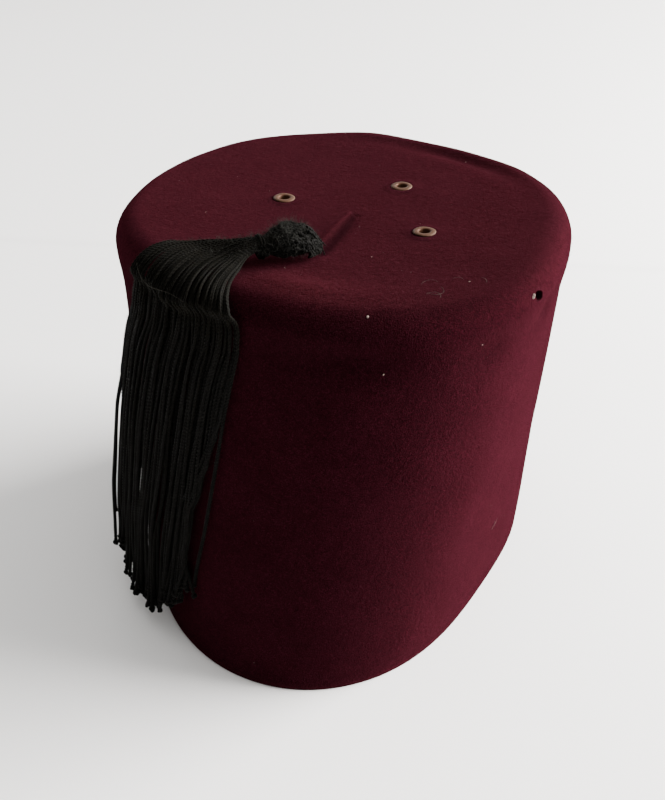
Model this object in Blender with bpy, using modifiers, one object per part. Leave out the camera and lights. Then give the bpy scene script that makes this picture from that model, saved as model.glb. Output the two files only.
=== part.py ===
"""Felt fez: a blocked cap with a stem, four eyelets and a corded tassel.

Units are metres and +Z is up. The hat stands on its open edge at Z = 0, with
its origin in the middle of its footprint and the head's long way along Y.
A place on the felt is an azimuth in degrees, from +X towards +Y, and a way:
0 at the crown's centre, CREASE_WAY and WALL_WAY where the rounded crown edge
begins and ends, and 2 at the open edge.
"""
import math
from collections import namedtuple

import bmesh
import bpy
import numpy as np
from mathutils import Matrix, Vector

# Cap, outside sizes
HAT_HEIGHT = 0.152
BAND_LENGTH = 0.2058
BAND_WIDTH = 0.1570
CROWN_LENGTH = 0.1845
CROWN_WIDTH = 0.1690
CROWN_TURN = 39.0
CROWN_EDGE_RADIUS = 0.009
CROWN_DISH = 0.0024
EDGE_SWELL = 0.0012
HEM_HEIGHT = 0.003
FELT_THICKNESS = 0.0025
MOTH_HOLE_WIDTH = 0.0030

# Stem of felt at the crown's centre
STEM_WIDTH = 0.0052
STEM_SINK = 0.0015

# Eyelets
EYELET_DIAMETER = 0.0085
EYELET_BORE = 0.0043
EYELET_RISE = 0.0009
EYELET_SHEET = 0.0005
EYELET_TURNOVER = 0.0012

# Tassel
HEAD_DEPTH = 0.0132
NECK_RAISE = 0.0021
SKIRT_FLARE = 0.0125
SPLIT_HEIGHT = 0.040
TIP_HEIGHT = 0.006
TIP_SCATTER = 0.022
BINDING_THREAD = 0.0015

# Clearances between pieces
METAL_GAP = 0.0003
CORD_GAP = 0.0005

# Places along the way from the crown's centre to the open edge
CREASE_WAY = 0.9
WALL_WAY = 1.05
HEM_WAY = 2.0

# Mesh counts
FELT_COLUMNS = 64
CROWN_ROWS = 7
CREASE_ROWS = 5
WALL_ROWS = 10
EYELET_SIDES = 16
LOCKS = 9
LOCK_SIDES = 3
STEPS_PER_STATION = 2

# The two outlines that the cap is blocked between. Shifts are shares of the
# length, egg and square are shares of the mean radius, the rest are degrees.
Outline = namedtuple(
    "Outline", "length width long_way shift_x shift_y egg egg_way square square_way"
)
BAND = Outline(BAND_LENGTH, BAND_WIDTH, 90.0, -0.003, 0.008, 0.024, 44.0, 0.020, 10.0)
CROWN = Outline(
    CROWN_LENGTH, CROWN_WIDTH, 90.0 + CROWN_TURN, 0.0085, 0.016, 0.0175, 58.0, 0.022, 38.0
)

# Dents and swellings of the felt. Depth is a share of CROWN_EDGE_RADIUS, and
# a negative one stands proud.
Dent = namedtuple("Dent", "name azimuth way spread_azimuth spread_way depth")
DENTS = (
    Dent("front_pinch", 290.0, 1.090, 13.0, 0.040, 0.17),
    Dent("side_pinch", 318.0, 1.100, 8.0, 0.055, 0.12),
    Dent("hole_pinch", 341.0, 1.090, 6.0, 0.035, 0.18),
    Dent("front_bulge", 276.0, 0.800, 15.0, 0.090, -0.14),
    Dent("back_gutter", 64.0, 0.840, 24.0, 0.060, 0.20),
    Dent("back_lip", 100.0, 0.970, 13.0, 0.060, -0.16),
)

# Where things are fixed to the crown
Place = namedtuple("Place", "name azimuth way")
EYELETS = (
    Place("eyelet_left", 178.0, 0.296),
    Place("eyelet_back", 63.0, 0.360),
    Place("eyelet_right", 339.0, 0.418),
    Place("eyelet_front", 262.0, 0.474),
)
STEM_ROUTE = (
    Place("root", 306.0, 0.075),
    Place("upper", 286.0, 0.170),
    Place("middle", 280.0, 0.280),
    Place("lower", 277.5, 0.385),
    Place("end", 276.5, 0.466),
)
STEM_GIRTHS = (0.55, 0.95, 1.0, 0.95, 0.8)
MOTH_HOLE = Place("moth_hole", 333.0, 1.015)
MOTH_HOLE_SHAPE = (1.0, 0.7, 1.15, 0.85, 1.1, 0.75, 0.95)

# Stations along the tassel, from its head to its skirt. The back edge hangs
# at the left of the front edge as one faces it. Raise is a share of
# NECK_RAISE, depth of HEAD_DEPTH and flare of SKIRT_FLARE, and roundness goes
# from 0, lying flat, to 1, a round bundle.
Station = namedtuple(
    "Station",
    "name back_azimuth back_way front_azimuth front_way raised depth roundness flare",
)
STATIONS = (
    Station("bight", 274.5, 0.488, 278.0, 0.530, 0.40, 0.42, 1.0, 0.0),
    Station("head_start", 268.0, 0.500, 276.5, 0.592, 0.10, 0.84, 1.0, 0.0),
    Station("head_middle", 262.5, 0.552, 272.5, 0.656, 0.10, 1.00, 1.0, 0.0),
    Station("head_end", 259.5, 0.612, 268.8, 0.702, 0.40, 0.88, 1.0, 0.0),
    Station("neck_start", 258.4, 0.678, 264.0, 0.727, 1.00, 0.58, 1.0, 0.0),
    Station("neck_end", 256.4, 0.702, 262.0, 0.750, 1.00, 0.58, 1.0, 0.0),
    Station("spread", 250.0, 0.730, 262.8, 0.808, 0.50, 0.58, 0.6, 0.0),
    Station("fan", 240.0, 0.796, 264.0, 0.872, 0.15, 0.48, 0.25, 0.0),
    Station("shoulder", 235.4, 0.892, 264.8, 0.941, 0.0, 0.42, 0.1, 0.0),
    Station("edge", 232.8, 1.000, 265.8, 1.010, 0.0, 0.42, 0.0, 0.02),
    Station("under_edge", 230.6, 1.090, 265.6, 1.090, 0.0, 0.42, 0.0, 0.06),
    Station("upper_skirt", 227.4, 1.200, 264.3, 1.200, 0.0, 0.42, 0.0, 0.17),
    Station("middle_skirt", 225.2, 1.400, 261.6, 1.400, 0.0, 0.40, 0.0, 0.46),
    Station("lower_skirt", 223.9, 1.590, 258.9, 1.590, 0.0, 0.38, 0.0, 0.72),
    Station("split", 223.1, None, 256.8, None, 0.0, 0.36, 0.0, 0.90),
    Station("tips", 222.7, None, 255.6, None, 0.0, 0.32, 0.0, 1.0),
)
# How far each lock's tip ends over the lowest one, as shares of TIP_SCATTER,
# from the back edge to the front edge
TIP_SHARES = (0.82, 0.45, 0.14, 0.05, 0.0, 0.09, 0.32, 0.64, 1.0)
# Width and depth that a lock keeps at each step of its tip, and how far down
# that step is
TipStep = namedtuple("TipStep", "down width depth")
TIP_STEPS = (TipStep(0.35, 0.86, 0.90), TipStep(0.80, 0.62, 0.70), TipStep(1.0, 0.34, 0.42))
VALLEY_DEPTH = 0.34
EDGE_DEPTH = 0.40

# Colours, roughness and metallic value of each finish
Finish = namedtuple("Finish", "colour roughness metallic")
FINISHES = {
    "felt": Finish((0.085, 0.0095, 0.017), 0.95, 0.0),
    "brass": Finish((0.46, 0.27, 0.13), 0.45, 1.0),
    "black_cord": Finish((0.010, 0.010, 0.011), 0.60, 0.0),
}


# The felt's outside as a function of azimuth and way


def outline_radius(outline, azimuth):
    """Radius of an outline at azimuths in degrees."""
    mean = (outline.length + outline.width) / 4
    oval = (outline.length - outline.width) / (outline.length + outline.width)
    return mean * (
        1
        + oval * np.cos(2 * np.radians(azimuth - outline.long_way))
        + outline.egg * np.cos(3 * np.radians(azimuth - outline.egg_way))
        + outline.square * np.cos(4 * np.radians(azimuth - outline.square_way))
    )


def blocked_point(azimuth, way):
    """Point on the cap as it left its block, with no dents in it."""
    azimuth, way = np.broadcast_arrays(np.asarray(azimuth, float), np.asarray(way, float))
    wall_top = HAT_HEIGHT - CROWN_EDGE_RADIUS
    crown = outline_radius(CROWN, azimuth)
    band = outline_radius(BAND, azimuth)
    flat = crown - CROWN_EDGE_RADIUS
    on_crown = np.clip(way / CREASE_WAY, 0, 1)
    bend = np.clip((way - CREASE_WAY) / (WALL_WAY - CREASE_WAY), 0, 1) * math.pi / 2
    down = np.clip((way - WALL_WAY) / (HEM_WAY - WALL_WAY), 0, 1)

    height = wall_top * (1 - down) + CROWN_EDGE_RADIUS * np.cos(bend)
    height = height - CROWN_DISH * (1 - on_crown**2)
    blend = np.clip((height - HEM_HEIGHT) / (wall_top - HEM_HEIGHT), 0, 1)
    wall_radius = blend * crown + (1 - blend) * band
    radius = np.where(
        down > 0, wall_radius, flat * on_crown + CROWN_EDGE_RADIUS * np.sin(bend)
    )
    swell = np.exp(-(((height - wall_top) / CROWN_EDGE_RADIUS) ** 2))
    radius = radius + EDGE_SWELL * np.sin(bend) * swell

    shift_x = blend * CROWN.shift_x * CROWN.length + (1 - blend) * BAND.shift_x * BAND.length
    shift_y = blend * CROWN.shift_y * CROWN.length + (1 - blend) * BAND.shift_y * BAND.length
    turn = np.radians(azimuth)
    return np.stack(
        [shift_x + radius * np.cos(turn), shift_y + radius * np.sin(turn), height], axis=-1
    )


def felt_normal(azimuth, way):
    """Outward direction of the felt, from its slopes along azimuth and way."""
    azimuth, way = np.broadcast_arrays(np.asarray(azimuth, float), np.asarray(way, float))
    way = np.clip(way, 0.02, HEM_WAY - 0.02)
    around = blocked_point(azimuth + 0.5, way) - blocked_point(azimuth - 0.5, way)
    along = blocked_point(azimuth, way + 0.01) - blocked_point(azimuth, way - 0.01)
    normal = np.cross(along, around)
    return normal / np.linalg.norm(normal, axis=-1, keepdims=True)


def felt_point(azimuth, way, lift=0.0):
    """Point at a lift over the dented felt."""
    dent_depth = 0.0
    for dent in DENTS:
        across = (np.asarray(azimuth) - dent.azimuth + 180) % 360 - 180
        along = np.asarray(way) - dent.way
        fall = (across / dent.spread_azimuth) ** 2 + (along / dent.spread_way) ** 2
        dent_depth = dent_depth + dent.depth * CROWN_EDGE_RADIUS * np.exp(-fall)
    offset = np.asarray(lift - dent_depth)[..., None]
    return blocked_point(azimuth, way) + felt_normal(azimuth, way) * offset


def way_at_height(height):
    """Way down the wall that lies at a height over the open edge."""
    wall_top = HAT_HEIGHT - CROWN_EDGE_RADIUS
    return WALL_WAY + (HEM_WAY - WALL_WAY) * (1 - height / wall_top)


def place_matrix(place):
    """Frame that stands on the felt at a place, with its Z pointing out."""
    point = Vector(felt_point(place.azimuth, place.way))
    normal = Vector(felt_normal(place.azimuth, place.way))
    return Matrix.Translation(point) @ normal.to_track_quat("Z", "Y").to_matrix().to_4x4()


# Scene helpers


def clear_scene():
    """Start with no objects."""
    for existing in list(bpy.data.objects):
        bpy.data.objects.remove(existing, do_unlink=True)


def new_collection(name):
    """Add a collection to the scene."""
    collection = bpy.data.collections.new(name)
    bpy.context.scene.collection.children.link(collection)
    return collection


def new_material(name):
    """Principled material of one finish."""
    finish = FINISHES[name]
    material = bpy.data.materials.new(name)
    material.use_nodes = True
    shader = material.node_tree.nodes["Principled BSDF"]
    shader.inputs["Base Color"].default_value = (*finish.colour, 1.0)
    shader.inputs["Roughness"].default_value = finish.roughness
    shader.inputs["Metallic"].default_value = finish.metallic
    material.diffuse_color = (*finish.colour, 1.0)
    return material


def new_object(name, data, collection, material=None):
    """Object of a mesh or a curve in a collection."""
    made = bpy.data.objects.new(name, data)
    collection.objects.link(made)
    if material:
        data.materials.append(material)
    return made


def make_cutter(made):
    """Keep a helper out of the part."""
    made.hide_render = True
    made.display_type = "WIRE"


def add_boolean(target, operation, operand):
    """Join or cut one object with another."""
    modifier = target.modifiers.new(f"{operation.lower()}_{operand.name}", "BOOLEAN")
    modifier.operation = operation
    modifier.object = operand
    modifier.solver = "EXACT"


def shade_round(mesh):
    """Smooth shading that keeps the sharp edges."""
    mesh.shade_smooth()
    mesh.set_sharp_from_angle(angle=math.radians(40))


# Felt cap with its stem


def felt_ways():
    """Ways of the rows of the cap, from next to the centre to the open edge."""
    crown = np.linspace(0, CREASE_WAY, CROWN_ROWS + 1)[1:]
    crease = np.linspace(CREASE_WAY, WALL_WAY, CREASE_ROWS + 1)[1:]
    hem = way_at_height(HEM_HEIGHT)
    # Rows gather under the crown edge, where the felt is pinched
    wall = WALL_WAY + (hem - WALL_WAY) * np.linspace(0, 1, WALL_ROWS + 1)[1:] ** 1.4
    return [*crown, *crease, *wall, HEM_WAY]


def build_cap_shell(collection, material):
    """Open outer surface of the felt, thickened inwards."""
    shell = bmesh.new()
    azimuths = np.arange(FELT_COLUMNS) * 360 / FELT_COLUMNS
    centre = shell.verts.new(felt_point(0.0, 0.0))
    rows = []
    for way in felt_ways():
        rows.append([shell.verts.new(point) for point in felt_point(azimuths, way)])
    for column in range(FELT_COLUMNS):
        after = (column + 1) % FELT_COLUMNS
        shell.faces.new((centre, rows[0][column], rows[0][after]))
        for upper, lower in zip(rows, rows[1:]):
            shell.faces.new((upper[column], lower[column], lower[after], upper[after]))
    mesh = bpy.data.meshes.new("felt_body")
    shell.to_mesh(mesh)
    shell.free()
    shade_round(mesh)
    cap = new_object("felt_body", mesh, collection, material)
    wall = cap.modifiers.new("felt_thickness", "SOLIDIFY")
    wall.thickness = FELT_THICKNESS
    wall.offset = -1
    wall.use_even_offset = True
    return cap


def build_stem(collection):
    """Stem of felt that lies on the crown and is fused to it."""
    curve = bpy.data.curves.new("stem", "CURVE")
    curve.dimensions = "3D"
    curve.bevel_depth = STEM_WIDTH / 2
    curve.bevel_resolution = 2
    curve.use_fill_caps = True
    spline = curve.splines.new("POLY")
    spline.points.add(len(STEM_ROUTE) - 1)
    for point, place, girth in zip(spline.points, STEM_ROUTE, STEM_GIRTHS):
        lift = girth * STEM_WIDTH / 2 - STEM_SINK
        point.co = (*felt_point(place.azimuth, place.way, lift), 1.0)
        point.radius = girth
    tube = new_object("stem_curve", curve, collection)
    bpy.context.view_layer.update()
    evaluated = tube.evaluated_get(bpy.context.evaluated_depsgraph_get())
    mesh = bpy.data.meshes.new_from_object(evaluated)
    weld_mesh(mesh)
    stem = new_object("stem", mesh, collection)
    stem.matrix_world = tube.matrix_world
    bpy.data.objects.remove(tube, do_unlink=True)
    make_cutter(stem)
    return stem


def weld_mesh(mesh):
    """Join a curve's loose caps to its sides."""
    welded = bmesh.new()
    welded.from_mesh(mesh)
    bmesh.ops.remove_doubles(welded, verts=welded.verts, dist=1e-6)
    welded.to_mesh(mesh)
    welded.free()


def build_eyelet_hole(place, collection):
    """Cutter for the hole that an eyelet's barrel goes through."""
    radius = EYELET_BORE / 2 + EYELET_SHEET + METAL_GAP
    hole = bmesh.new()
    bmesh.ops.create_cone(
        hole,
        cap_ends=True,
        segments=EYELET_SIDES,
        radius1=radius,
        radius2=radius,
        depth=4 * FELT_THICKNESS,
    )
    mesh = bpy.data.meshes.new(f"{place.name}_hole")
    hole.to_mesh(mesh)
    hole.free()
    cutter = new_object(mesh.name, mesh, collection)
    cutter.matrix_world = place_matrix(place)
    make_cutter(cutter)
    return cutter


def build_moth_hole(collection):
    """Ragged cutter, wider at the felt's face than inside it."""
    ragged = bmesh.new()
    count = len(MOTH_HOLE_SHAPE)
    bmesh.ops.create_cone(
        ragged,
        cap_ends=True,
        segments=count,
        radius1=0.6 * MOTH_HOLE_WIDTH / 2,
        radius2=1.2 * MOTH_HOLE_WIDTH / 2,
        depth=4 * FELT_THICKNESS,
    )
    for vertex in ragged.verts:
        turn = math.atan2(vertex.co.y, vertex.co.x) / math.tau
        share = MOTH_HOLE_SHAPE[round(turn * count) % count]
        vertex.co.x *= share
        vertex.co.y *= share
    mesh = bpy.data.meshes.new(MOTH_HOLE.name)
    ragged.to_mesh(mesh)
    ragged.free()
    cutter = new_object(MOTH_HOLE.name, mesh, collection)
    cutter.matrix_world = place_matrix(MOTH_HOLE)
    make_cutter(cutter)
    return cutter


def build_cap(parts, cutters, material):
    """Whole felt piece: shell, stem, eyelet holes and moth hole."""
    cap = build_cap_shell(parts, material)
    add_boolean(cap, "UNION", build_stem(cutters))
    for place in EYELETS:
        add_boolean(cap, "DIFFERENCE", build_eyelet_hole(place, cutters))
    add_boolean(cap, "DIFFERENCE", build_moth_hole(cutters))
    return cap


# Brass eyelets


def eyelet_profile():
    """Radius and height round an eyelet's section, down its outer side first."""
    bore = EYELET_BORE / 2
    barrel = bore + EYELET_SHEET
    rim = EYELET_DIAMETER / 2
    seat = METAL_GAP
    back = -FELT_THICKNESS - METAL_GAP
    return (
        (bore, seat + 0.45 * EYELET_RISE),
        (bore + 0.22 * (rim - bore), seat + 0.95 * EYELET_RISE),
        (bore + 0.60 * (rim - bore), seat + EYELET_RISE),
        (rim, seat + 0.40 * EYELET_RISE),
        (rim, seat),
        (barrel, seat),
        (barrel, back),
        (barrel + EYELET_TURNOVER, back),
        (barrel + EYELET_TURNOVER, back - EYELET_SHEET),
        (bore, back - EYELET_SHEET),
    )


def build_eyelet(place, collection, material):
    """One eyelet: rolled rim outside, barrel through the felt, turned over inside."""
    section = bmesh.new()
    corners = [section.verts.new((radius, 0, height)) for radius, height in eyelet_profile()]
    for corner, after in zip(corners, corners[1:] + corners[:1]):
        section.edges.new((corner, after))
    mesh = bpy.data.meshes.new(place.name)
    section.to_mesh(mesh)
    section.free()
    eyelet = new_object(place.name, mesh, collection, material)
    turned = eyelet.modifiers.new("turned", "SCREW")
    turned.steps = EYELET_SIDES
    turned.render_steps = EYELET_SIDES
    turned.use_merge_vertices = True
    turned.merge_threshold = 0.00001
    eyelet.matrix_world = place_matrix(place)
    return eyelet


# Tassel


def smooth_between(rows, share):
    """Value at a share of the way through rows, along a smooth curve."""
    rows = np.asarray(rows, float)
    position = share * (len(rows) - 1)
    first = min(int(position), len(rows) - 2)
    part = position - first
    before = rows[max(first - 1, 0)]
    start, end = rows[first], rows[first + 1]
    after = rows[min(first + 2, len(rows) - 1)]
    return 0.5 * (
        2 * start
        + (end - before) * part
        + (2 * before - 5 * start + 4 * end - after) * part**2
        + (3 * start - before - 3 * end + after) * part**3
    )


def round_station(station):
    """A round bundle's station, as wide as it is deep."""
    places = felt_point(
        np.array([station.back_azimuth, station.front_azimuth]),
        np.array([station.back_way, station.front_way]),
    )
    share = station.depth * HEAD_DEPTH / np.linalg.norm(places[1] - places[0])
    azimuth = (station.back_azimuth + station.front_azimuth) / 2
    way = (station.back_way + station.front_way) / 2
    return station._replace(
        back_azimuth=azimuth + (station.back_azimuth - azimuth) * share,
        front_azimuth=azimuth + (station.front_azimuth - azimuth) * share,
        back_way=way + (station.back_way - way) * share,
        front_way=way + (station.front_way - way) * share,
    )


def resolved_stations():
    """The stations with what follows from the named sizes filled in."""
    ways = {"split": way_at_height(SPLIT_HEIGHT), "tips": way_at_height(TIP_HEIGHT)}
    stations = []
    for station in STATIONS:
        if station.name in ways:
            end_way = ways[station.name]
            station = station._replace(back_way=end_way, front_way=end_way)
        elif station.roundness == 1:
            station = round_station(station)
        stations.append(station)
    return stations


def strand_points(station, across, height_share):
    """Points over the felt at shares across a station and up through its depth."""
    across = np.asarray(across, float)
    side = (1 - station.roundness) * (2 * across - 1)
    side = side - station.roundness * np.cos(math.pi * across)
    along = (side + 1) / 2
    azimuth = station.back_azimuth + (station.front_azimuth - station.back_azimuth) * along
    way = station.back_way + (station.front_way - station.back_way) * along
    depth = station.depth * HEAD_DEPTH
    hollow = station.roundness * depth / 2
    edge = depth * EDGE_DEPTH * (1 - station.roundness) + 0.04 * depth
    under = hollow * (1 - np.sqrt(np.clip(1 - side**2, 0, 1)))
    over = hollow + edge + (depth - hollow - edge) * np.sqrt(np.clip(1 - np.abs(side) ** 2.4, 0, 1))
    flare = station.flare * SKIRT_FLARE * (1 - along) ** 1.4
    lift = CORD_GAP + station.raised * NECK_RAISE + flare
    return felt_point(azimuth, way, lift + under + (over - under) * height_share)


def station_ring(station):
    """Closed section of the tassel: over the locks, then back under them."""
    count = LOCKS * LOCK_SIDES
    over = np.linspace(0, 1, count + 1)
    valley = (np.arange(count + 1) % LOCK_SIDES == 0) * VALLEY_DEPTH
    relief = 0.35 + 0.65 * (1 - station.roundness)
    valley[[0, -1]] = 0
    outside = strand_points(station, over, 1 - relief * valley)
    inside = strand_points(station, np.linspace(1, 0, LOCKS + 1), 0.0)
    return np.concatenate([outside, inside])


def tassel_stations():
    """Smooth run of stations from the head to where the locks part."""
    rows = resolved_stations()
    fields = [row[1:] for row in rows]
    last = len(rows) - 2
    steps = last * STEPS_PER_STATION
    run = []
    for step in range(steps + 1):
        share = step / steps * last / (len(rows) - 1)
        values = smooth_between(fields, share)
        values[4:] = np.maximum(values[4:], 0)
        values[6] = min(values[6], 1)
        run.append(Station("step", *values))
    return run, rows[-1]


def lock_tip_ring(station, lock, step):
    """Six-sided section of one lock on its way to its tip."""
    first, last = lock / LOCKS, (lock + 1) / LOCKS
    middle, half = (first + last) / 2, (last - first) / 2 * step.width
    over = np.linspace(middle - half, middle + half, LOCK_SIDES + 1)
    rise = 0.5 + 0.5 * step.depth * np.array([1 - VALLEY_DEPTH, 1, 1, 1 - VALLEY_DEPTH])
    outside = strand_points(station, over, rise)
    inside = strand_points(station, over[[-1, 0]], 0.5 - 0.5 * step.depth)
    return np.concatenate([outside, inside])


def bridge_rings(target, upper, lower):
    """Faces between two rings of the same count."""
    for index in range(len(upper)):
        after = (index + 1) % len(upper)
        target.faces.new((upper[index], lower[index], lower[after], upper[after]))


def build_tassel(collection, material):
    """Head, neck, fan and skirt of the tassel, which ends in parted locks."""
    tassel = bmesh.new()
    run, tips = tassel_stations()
    rings = []
    for station in run:
        rings.append([tassel.verts.new(point) for point in station_ring(station)])
    tassel.faces.new(rings[0])
    for upper, lower in zip(rings, rings[1:]):
        bridge_rings(tassel, upper, lower)
    split = run[-1]
    outer_count = LOCKS * LOCK_SIDES + 1
    for lock, tip_share in enumerate(TIP_SHARES):
        over = rings[-1][lock * LOCK_SIDES : (lock + 1) * LOCK_SIDES + 1]
        under = rings[-1][outer_count + LOCKS - lock - 1 : outer_count + LOCKS - lock + 1]
        ring = [*over, *under]
        tip_way = way_at_height(TIP_HEIGHT + tip_share * TIP_SCATTER)
        whole = tips.back_way - split.back_way
        for step in TIP_STEPS:
            down = step.down * (tip_way - split.back_way)
            blend = down / whole
            values = [a + (b - a) * blend for a, b in zip(split[1:], tips[1:])]
            station = Station("tip", *values)
            lower = [tassel.verts.new(point) for point in lock_tip_ring(station, lock, step)]
            bridge_rings(tassel, ring, lower)
            ring = lower
        tassel.faces.new(ring[::-1])
    bmesh.ops.recalc_face_normals(tassel, faces=tassel.faces)
    mesh = bpy.data.meshes.new("tassel")
    tassel.to_mesh(mesh)
    tassel.free()
    shade_round(mesh)
    return new_object("tassel", mesh, collection, material)


def build_binding(collection, material):
    """Ring of thread wound round the neck, clear of its cords."""
    rows = {row.name: row for row in resolved_stations()}
    start, end = rows["neck_start"], rows["neck_end"]
    middle = Station("neck", *[(a + b) / 2 for a, b in zip(start[1:], end[1:])])
    shares = np.linspace(0, 1, 11)
    over = strand_points(middle, shares, 1.0)
    under = strand_points(middle, shares[-2:0:-1], 0.0)
    section = np.concatenate([over, under])
    centre = section.mean(axis=0)
    spokes = section - centre
    reach = np.linalg.norm(spokes, axis=1, keepdims=True)
    route = centre + spokes * (1 + (CORD_GAP + BINDING_THREAD / 2) / reach)
    curve = bpy.data.curves.new("tassel_binding", "CURVE")
    curve.dimensions = "3D"
    curve.bevel_depth = BINDING_THREAD / 2
    curve.bevel_resolution = 1
    spline = curve.splines.new("POLY")
    spline.points.add(len(route) - 1)
    for point, place in zip(spline.points, route):
        point.co = (*place, 1.0)
    spline.use_cyclic_u = True
    return new_object("tassel_binding", curve, collection, material)


def main():
    """Build the whole hat."""
    clear_scene()
    parts = new_collection("fez_hat")
    cutters = new_collection("fez_hat_cutters")
    felt, brass, cord = (new_material(name) for name in ("felt", "brass", "black_cord"))
    build_cap(parts, cutters, felt)
    for place in EYELETS:
        build_eyelet(place, parts, brass)
    build_tassel(parts, cord)
    build_binding(parts, cord)


main()
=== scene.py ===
"""Fez of maroon felt with four eyelets and a tassel of black cord.

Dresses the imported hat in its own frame, in metres: felt with nap, fuzz and
lint, worn brass eyelets, twisted cords with knotted tips, and a pale studio.
A place on the felt is an azimuth in degrees, from +X towards +Y, and a way:
0 at the crown's centre, CREASE_WAY and WALL_WAY where the rounded crown edge
begins and ends, and 2 at the open edge.
"""

import math
from collections import namedtuple

import bpy
import numpy as np
from mathutils import Matrix, Vector, noise


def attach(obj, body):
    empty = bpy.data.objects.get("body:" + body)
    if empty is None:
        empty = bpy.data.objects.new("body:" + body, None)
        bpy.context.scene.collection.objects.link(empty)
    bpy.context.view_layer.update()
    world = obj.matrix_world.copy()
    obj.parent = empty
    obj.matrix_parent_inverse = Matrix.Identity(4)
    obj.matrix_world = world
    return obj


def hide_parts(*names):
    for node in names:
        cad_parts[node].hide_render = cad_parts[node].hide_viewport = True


bl_info = {
    "name": "Felt fez",
    "version": (1, 0, 0),
    "blender": (4, 5, 0),
    "location": "3D View > Sidebar > Fez",
    "description": "Builds a felt fez with eyelets, a corded tassel and a pale studio",
    "category": "Object",
}

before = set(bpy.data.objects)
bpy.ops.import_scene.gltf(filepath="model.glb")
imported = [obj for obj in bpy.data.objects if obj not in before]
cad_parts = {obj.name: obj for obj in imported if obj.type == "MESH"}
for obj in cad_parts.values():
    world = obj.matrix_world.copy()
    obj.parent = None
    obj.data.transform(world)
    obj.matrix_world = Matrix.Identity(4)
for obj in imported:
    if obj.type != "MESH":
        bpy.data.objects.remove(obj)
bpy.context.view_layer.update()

FELT_FUZZ_SEED = 11
LINT_SEED = 23
CORD_SEED = 7
HEAD_SEED = 31
CORD_FUZZ_SEED = 5

# Cap, outside sizes
HAT_HEIGHT = 0.152
CROWN_EDGE_RADIUS = 0.009
CROWN_DISH = 0.0024
EDGE_SWELL = 0.0012
HEM_HEIGHT = 0.003
FELT_THICKNESS = 0.0025
MOTH_HOLE_WIDTH = 0.0038
WALL_TOP = HAT_HEIGHT - CROWN_EDGE_RADIUS
CREASE_WAY = 0.9
WALL_WAY = 1.05
HEM_WAY = 2.0

Outline = namedtuple(
    "Outline", "length width long_way shift_x shift_y egg egg_way square square_way"
)
BAND = Outline(0.2058, 0.1570, 90.0, -0.003, 0.008, 0.024, 44.0, 0.020, 10.0)
CROWN = Outline(0.1845, 0.1690, 129.0, 0.0085, 0.016, 0.0175, 58.0, 0.022, 38.0)

# Dents of the felt, depth as a share of CROWN_EDGE_RADIUS
Dent = namedtuple("Dent", "name azimuth way spread_azimuth spread_way depth")
DENTS = (
    Dent("front_pinch", 290.0, 1.090, 13.0, 0.040, 0.17),
    Dent("side_pinch", 318.0, 1.100, 8.0, 0.055, 0.12),
    Dent("hole_pinch", 341.0, 1.090, 6.0, 0.035, 0.18),
    Dent("front_bulge", 276.0, 0.800, 15.0, 0.090, -0.14),
    Dent("back_gutter", 64.0, 0.840, 24.0, 0.060, 0.20),
    Dent("back_lip", 100.0, 0.970, 13.0, 0.060, -0.16),
)

Place = namedtuple("Place", "name azimuth way")
EYELETS = (
    Place("eyelet_left", 178.0, 0.296),
    Place("eyelet_back", 63.0, 0.360),
    Place("eyelet_right", 339.0, 0.418),
    Place("eyelet_front", 262.0, 0.474),
)
STEM_ROUTE = (
    Place("root", 306.0, 0.075),
    Place("upper", 286.0, 0.170),
    Place("middle", 280.0, 0.280),
    Place("lower", 277.5, 0.385),
    Place("end", 276.5, 0.466),
)
STEM_GIRTHS = (0.55, 0.95, 1.0, 0.95, 0.8)
STEM_WIDTH = 0.0052
STEM_SINK = 0.0015
MOTH_HOLE = Place("moth_hole", 333.0, 1.015)

# Tassel
HEAD_DEPTH = 0.0132
NECK_RAISE = 0.0021
SKIRT_FLARE = 0.0125
SECTION_POWER = 2.4
FLARE_POWER = 1.4
CORD_GAP = 0.0005
TIP_HEIGHT = 0.006
TIP_SCATTER = 0.022
EDGE_DEPTH = 0.40
LEAST_EDGE = 0.04
TIP_SHARES = (0.82, 0.45, 0.14, 0.05, 0.0, 0.09, 0.32, 0.64, 1.0)
# Back azimuth and way, front azimuth and way, raised, depth, roundness, flare
STATIONS = {
    "bight": (274.5, 0.488, 278.0, 0.530, 0.40, 0.42, 1.0, 0.0),
    "head_start": (268.0, 0.500, 276.5, 0.592, 0.10, 0.84, 1.0, 0.0),
    "head_middle": (262.5, 0.552, 272.5, 0.656, 0.10, 1.00, 1.0, 0.0),
    "head_end": (259.5, 0.612, 268.8, 0.702, 0.40, 0.88, 1.0, 0.0),
    "neck_start": (258.4, 0.678, 264.0, 0.727, 1.00, 0.58, 1.0, 0.0),
    "neck_end": (256.4, 0.702, 262.0, 0.750, 1.00, 0.58, 1.0, 0.0),
    "spread": (250.0, 0.730, 260.4, 0.800, 0.50, 0.58, 0.6, 0.0),
    "fan": (240.0, 0.796, 261.2, 0.872, 0.15, 0.48, 0.25, 0.0),
    "shoulder": (235.4, 0.892, 262.8, 0.945, 0.0, 0.42, 0.1, 0.0),
    "edge": (232.8, 1.000, 265.8, 1.010, 0.0, 0.42, 0.0, 0.02),
    "under_edge": (230.6, 1.090, 265.6, 1.090, 0.0, 0.42, 0.0, 0.06),
    "upper_skirt": (227.4, 1.200, 264.3, 1.200, 0.0, 0.42, 0.0, 0.17),
    "middle_skirt": (225.2, 1.400, 261.6, 1.400, 0.0, 0.40, 0.0, 0.46),
    "lower_skirt": (223.9, 1.590, 258.9, 1.590, 0.0, 0.38, 0.0, 0.72),
    "split": (223.1, 1.734, 256.8, 1.734, 0.0, 0.36, 0.0, 0.90),
    "tips": (222.7, 1.960, 255.6, 1.960, 0.0, 0.32, 0.0, 1.0),
}
STATION_NAMES = list(STATIONS)
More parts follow.
